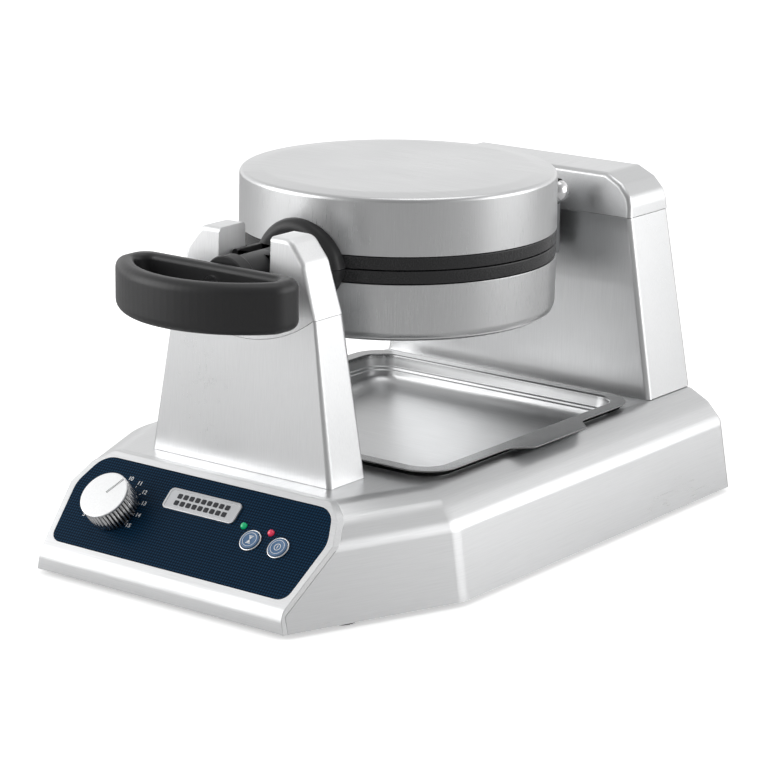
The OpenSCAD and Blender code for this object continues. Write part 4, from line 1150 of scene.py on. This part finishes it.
class BAKER_OT_studio(bpy.types.Operator):
    """Sets up the pale floor, the soft lights, the surroundings and the camera"""
    bl_idname = "baker.studio"
    bl_label = "Studio"

    def execute(self, context):
        st = context.scene.baker_studio
        bm = bmesh.new()
        bmesh.ops.create_circle(bm, cap_ends=True, segments=96, radius=9.0)
        mesh = bpy.data.meshes.new("studio_floor")
        bm.to_mesh(mesh)
        bm.free()
        f = Finish("studio_floor", tuple(st.floor), 0.0, 0.6, Specular_IOR_Level=0.2,
                   Emission_Color=(1, 1, 1, 1))
        f.rough(f.spread(f.noise((3, 3, 3)), 0.55, 0.68))
        # Seen directly the floor is white paper; in the metal's reflections it is a dimmer sweep
        seen = f.node("ShaderNodeLightPath").outputs["Is Camera Ray"]
        f.blend_colour(f.maths("SUBTRACT", 1.0, seen), shaded(tuple(st.floor), st.floor_dim))
        f.tree.links.new(f.maths("MULTIPLY", seen, st.floor_glow), f.shader.inputs["Emission Strength"])
        mesh.materials.append(f.material)
        floor = bpy.data.objects.new("studio_floor", mesh)
        context.scene.collection.objects.link(floor)
        self.lamp("key_softbox", (-1.8, -1.6, 0.85), 2.2, st.key_power)
        self.lamp("fill_softbox", (2.0, 1.25, 0.6), 1.9, st.fill_power)
        self.lamp("top_softbox", (0.1, 0.5, 2.2), 1.2, st.top_power)
        self.surroundings(context)
        self.camera(context, st)
        context.scene.view_settings.view_transform = "Standard"
        return {"FINISHED"}

    def lamp(self, name, spot, size, power):
        data = bpy.data.lights.new(name, "AREA")
        data.size, data.energy, data.shape = size, power, "SQUARE"
        lamp = bpy.data.objects.new(name, data)
        lamp.location = spot
        lamp.rotation_euler = (Vector((0, 0, 0.1)) - Vector(spot)).to_track_quat("-Z", "Y").to_euler()
        bpy.context.scene.collection.objects.link(lamp)

    def surroundings(self, context):
        world = bpy.data.worlds.new("studio_surroundings")
        context.scene.world = world
        world.use_nodes = True
        tree = world.node_tree
        back = tree.nodes["Background"]
        coords = tree.nodes.new("ShaderNodeTexCoord")
        parts = tree.nodes.new("ShaderNodeSeparateXYZ")
        tree.links.new(coords.outputs["Generated"], parts.inputs[0])
        height = self.ramp(tree, parts.outputs["Z"], ((0.0, 1.15), (0.3, 1.15), (0.6, 0.6), (1.0, 0.5)))
        # A dark screen stands where the operator would, so that round metal shows a shaded middle
        toward = tree.nodes.new("ShaderNodeVectorMath")
        toward.operation = "DOT_PRODUCT"
        toward.inputs[1].default_value = (0.6, -0.79, 0.1)
        tree.links.new(coords.outputs["Generated"], toward.inputs[0])
        screen = self.ramp(tree, toward.outputs["Value"], ((0.0, 1.0), (0.62, 1.0), (0.93, 0.3), (1.0, 0.3)))
        both = tree.nodes.new("ShaderNodeMix")
        both.data_type, both.blend_type = "RGBA", "MULTIPLY"
        both.inputs["Factor"].default_value = 1.0
        tree.links.new(height, both.inputs["A"])
        tree.links.new(screen, both.inputs["B"])
        tree.links.new(both.outputs["Result"], back.inputs["Color"])
        back.inputs["Strength"].default_value = 1.0

    def ramp(self, tree, value, stops):
        """A grey ramp through (position, brightness) stops."""
        made = tree.nodes.new("ShaderNodeValToRGB")
        tree.links.new(value, made.inputs[0])
        first, last = made.color_ramp.elements
        for at, grey in stops[1:-1]:
            made.color_ramp.elements.new(at).color = (grey, grey, grey, 1)
        first.position, first.color = stops[0][0], (*[stops[0][1]] * 3, 1)
        last.position, last.color = stops[-1][0], (*[stops[-1][1]] * 3, 1)
        return made.outputs[0]

    def camera(self, context, st):
        data = bpy.data.cameras.new("studio_camera")
        data.lens, data.sensor_width = st.lens, 36.0
        data.shift_x, data.shift_y = 0.0748, -0.0083
        data.clip_end = 50
        camera = bpy.data.objects.new("studio_camera", data)
        az, el, roll = CAMERA_AZIMUTH, CAMERA_ELEVATION, CAMERA_ROLL
        right = Vector((cos(az), sin(az), 0))
        back = Vector((sin(az) * cos(el), -cos(az) * cos(el), sin(el)))
        up = back.cross(right)
        right, up = cos(roll) * right + sin(roll) * up, cos(roll) * up - sin(roll) * right
        turn = Matrix((right, up, back)).transposed().to_4x4()
        camera.matrix_world = Matrix.Translation(CAMERA_PLACE) @ turn
        context.scene.collection.objects.link(camera)
        context.scene.camera = camera


OPERATORS = (BAKER_OT_finishes, BAKER_OT_base, BAKER_OT_towers, BAKER_OT_plates, BAKER_OT_hinge,
             BAKER_OT_handle, BAKER_OT_panel_front, BAKER_OT_controls, BAKER_OT_tray, BAKER_OT_studio)


class BAKER_PT_sidebar(bpy.types.Panel):
    """Lists the settings and the steps that build the waffle maker"""
    bl_idname = "BAKER_PT_sidebar"
    bl_label = "Waffle Maker"
    bl_space_type = "VIEW_3D"
    bl_region_type = "UI"
    bl_category = "Waffle Maker"

    def draw(self, context):
        for name, group in GROUPS.items():
            box = self.layout.box()
            box.label(text=group.__name__.replace("Settings", ""))
            for setting in group.__annotations__:
                box.prop(getattr(context.scene, name), setting)
        for operator in OPERATORS:
            self.layout.operator(operator.bl_idname)


CLASSES = (*GROUPS.values(), *OPERATORS, BAKER_PT_sidebar)


def register():
    for cls in CLASSES:
        bpy.utils.register_class(cls)
    for name, group in GROUPS.items():
        setattr(bpy.types.Scene, name, PointerProperty(type=group))


def unregister():
    for name in GROUPS:
        delattr(bpy.types.Scene, name)
    for cls in reversed(CLASSES):
        bpy.utils.unregister_class(cls)


def main():
    register()
    bpy.ops.baker.finishes()
    bpy.ops.baker.base()
    bpy.ops.baker.towers()
    bpy.ops.baker.plates()
    bpy.ops.baker.hinge()
    bpy.ops.baker.handle()
    bpy.ops.baker.panel_front()
    bpy.ops.baker.controls()
    bpy.ops.baker.tray()
    bpy.ops.baker.studio()


if __name__ == "__main__":
    main()
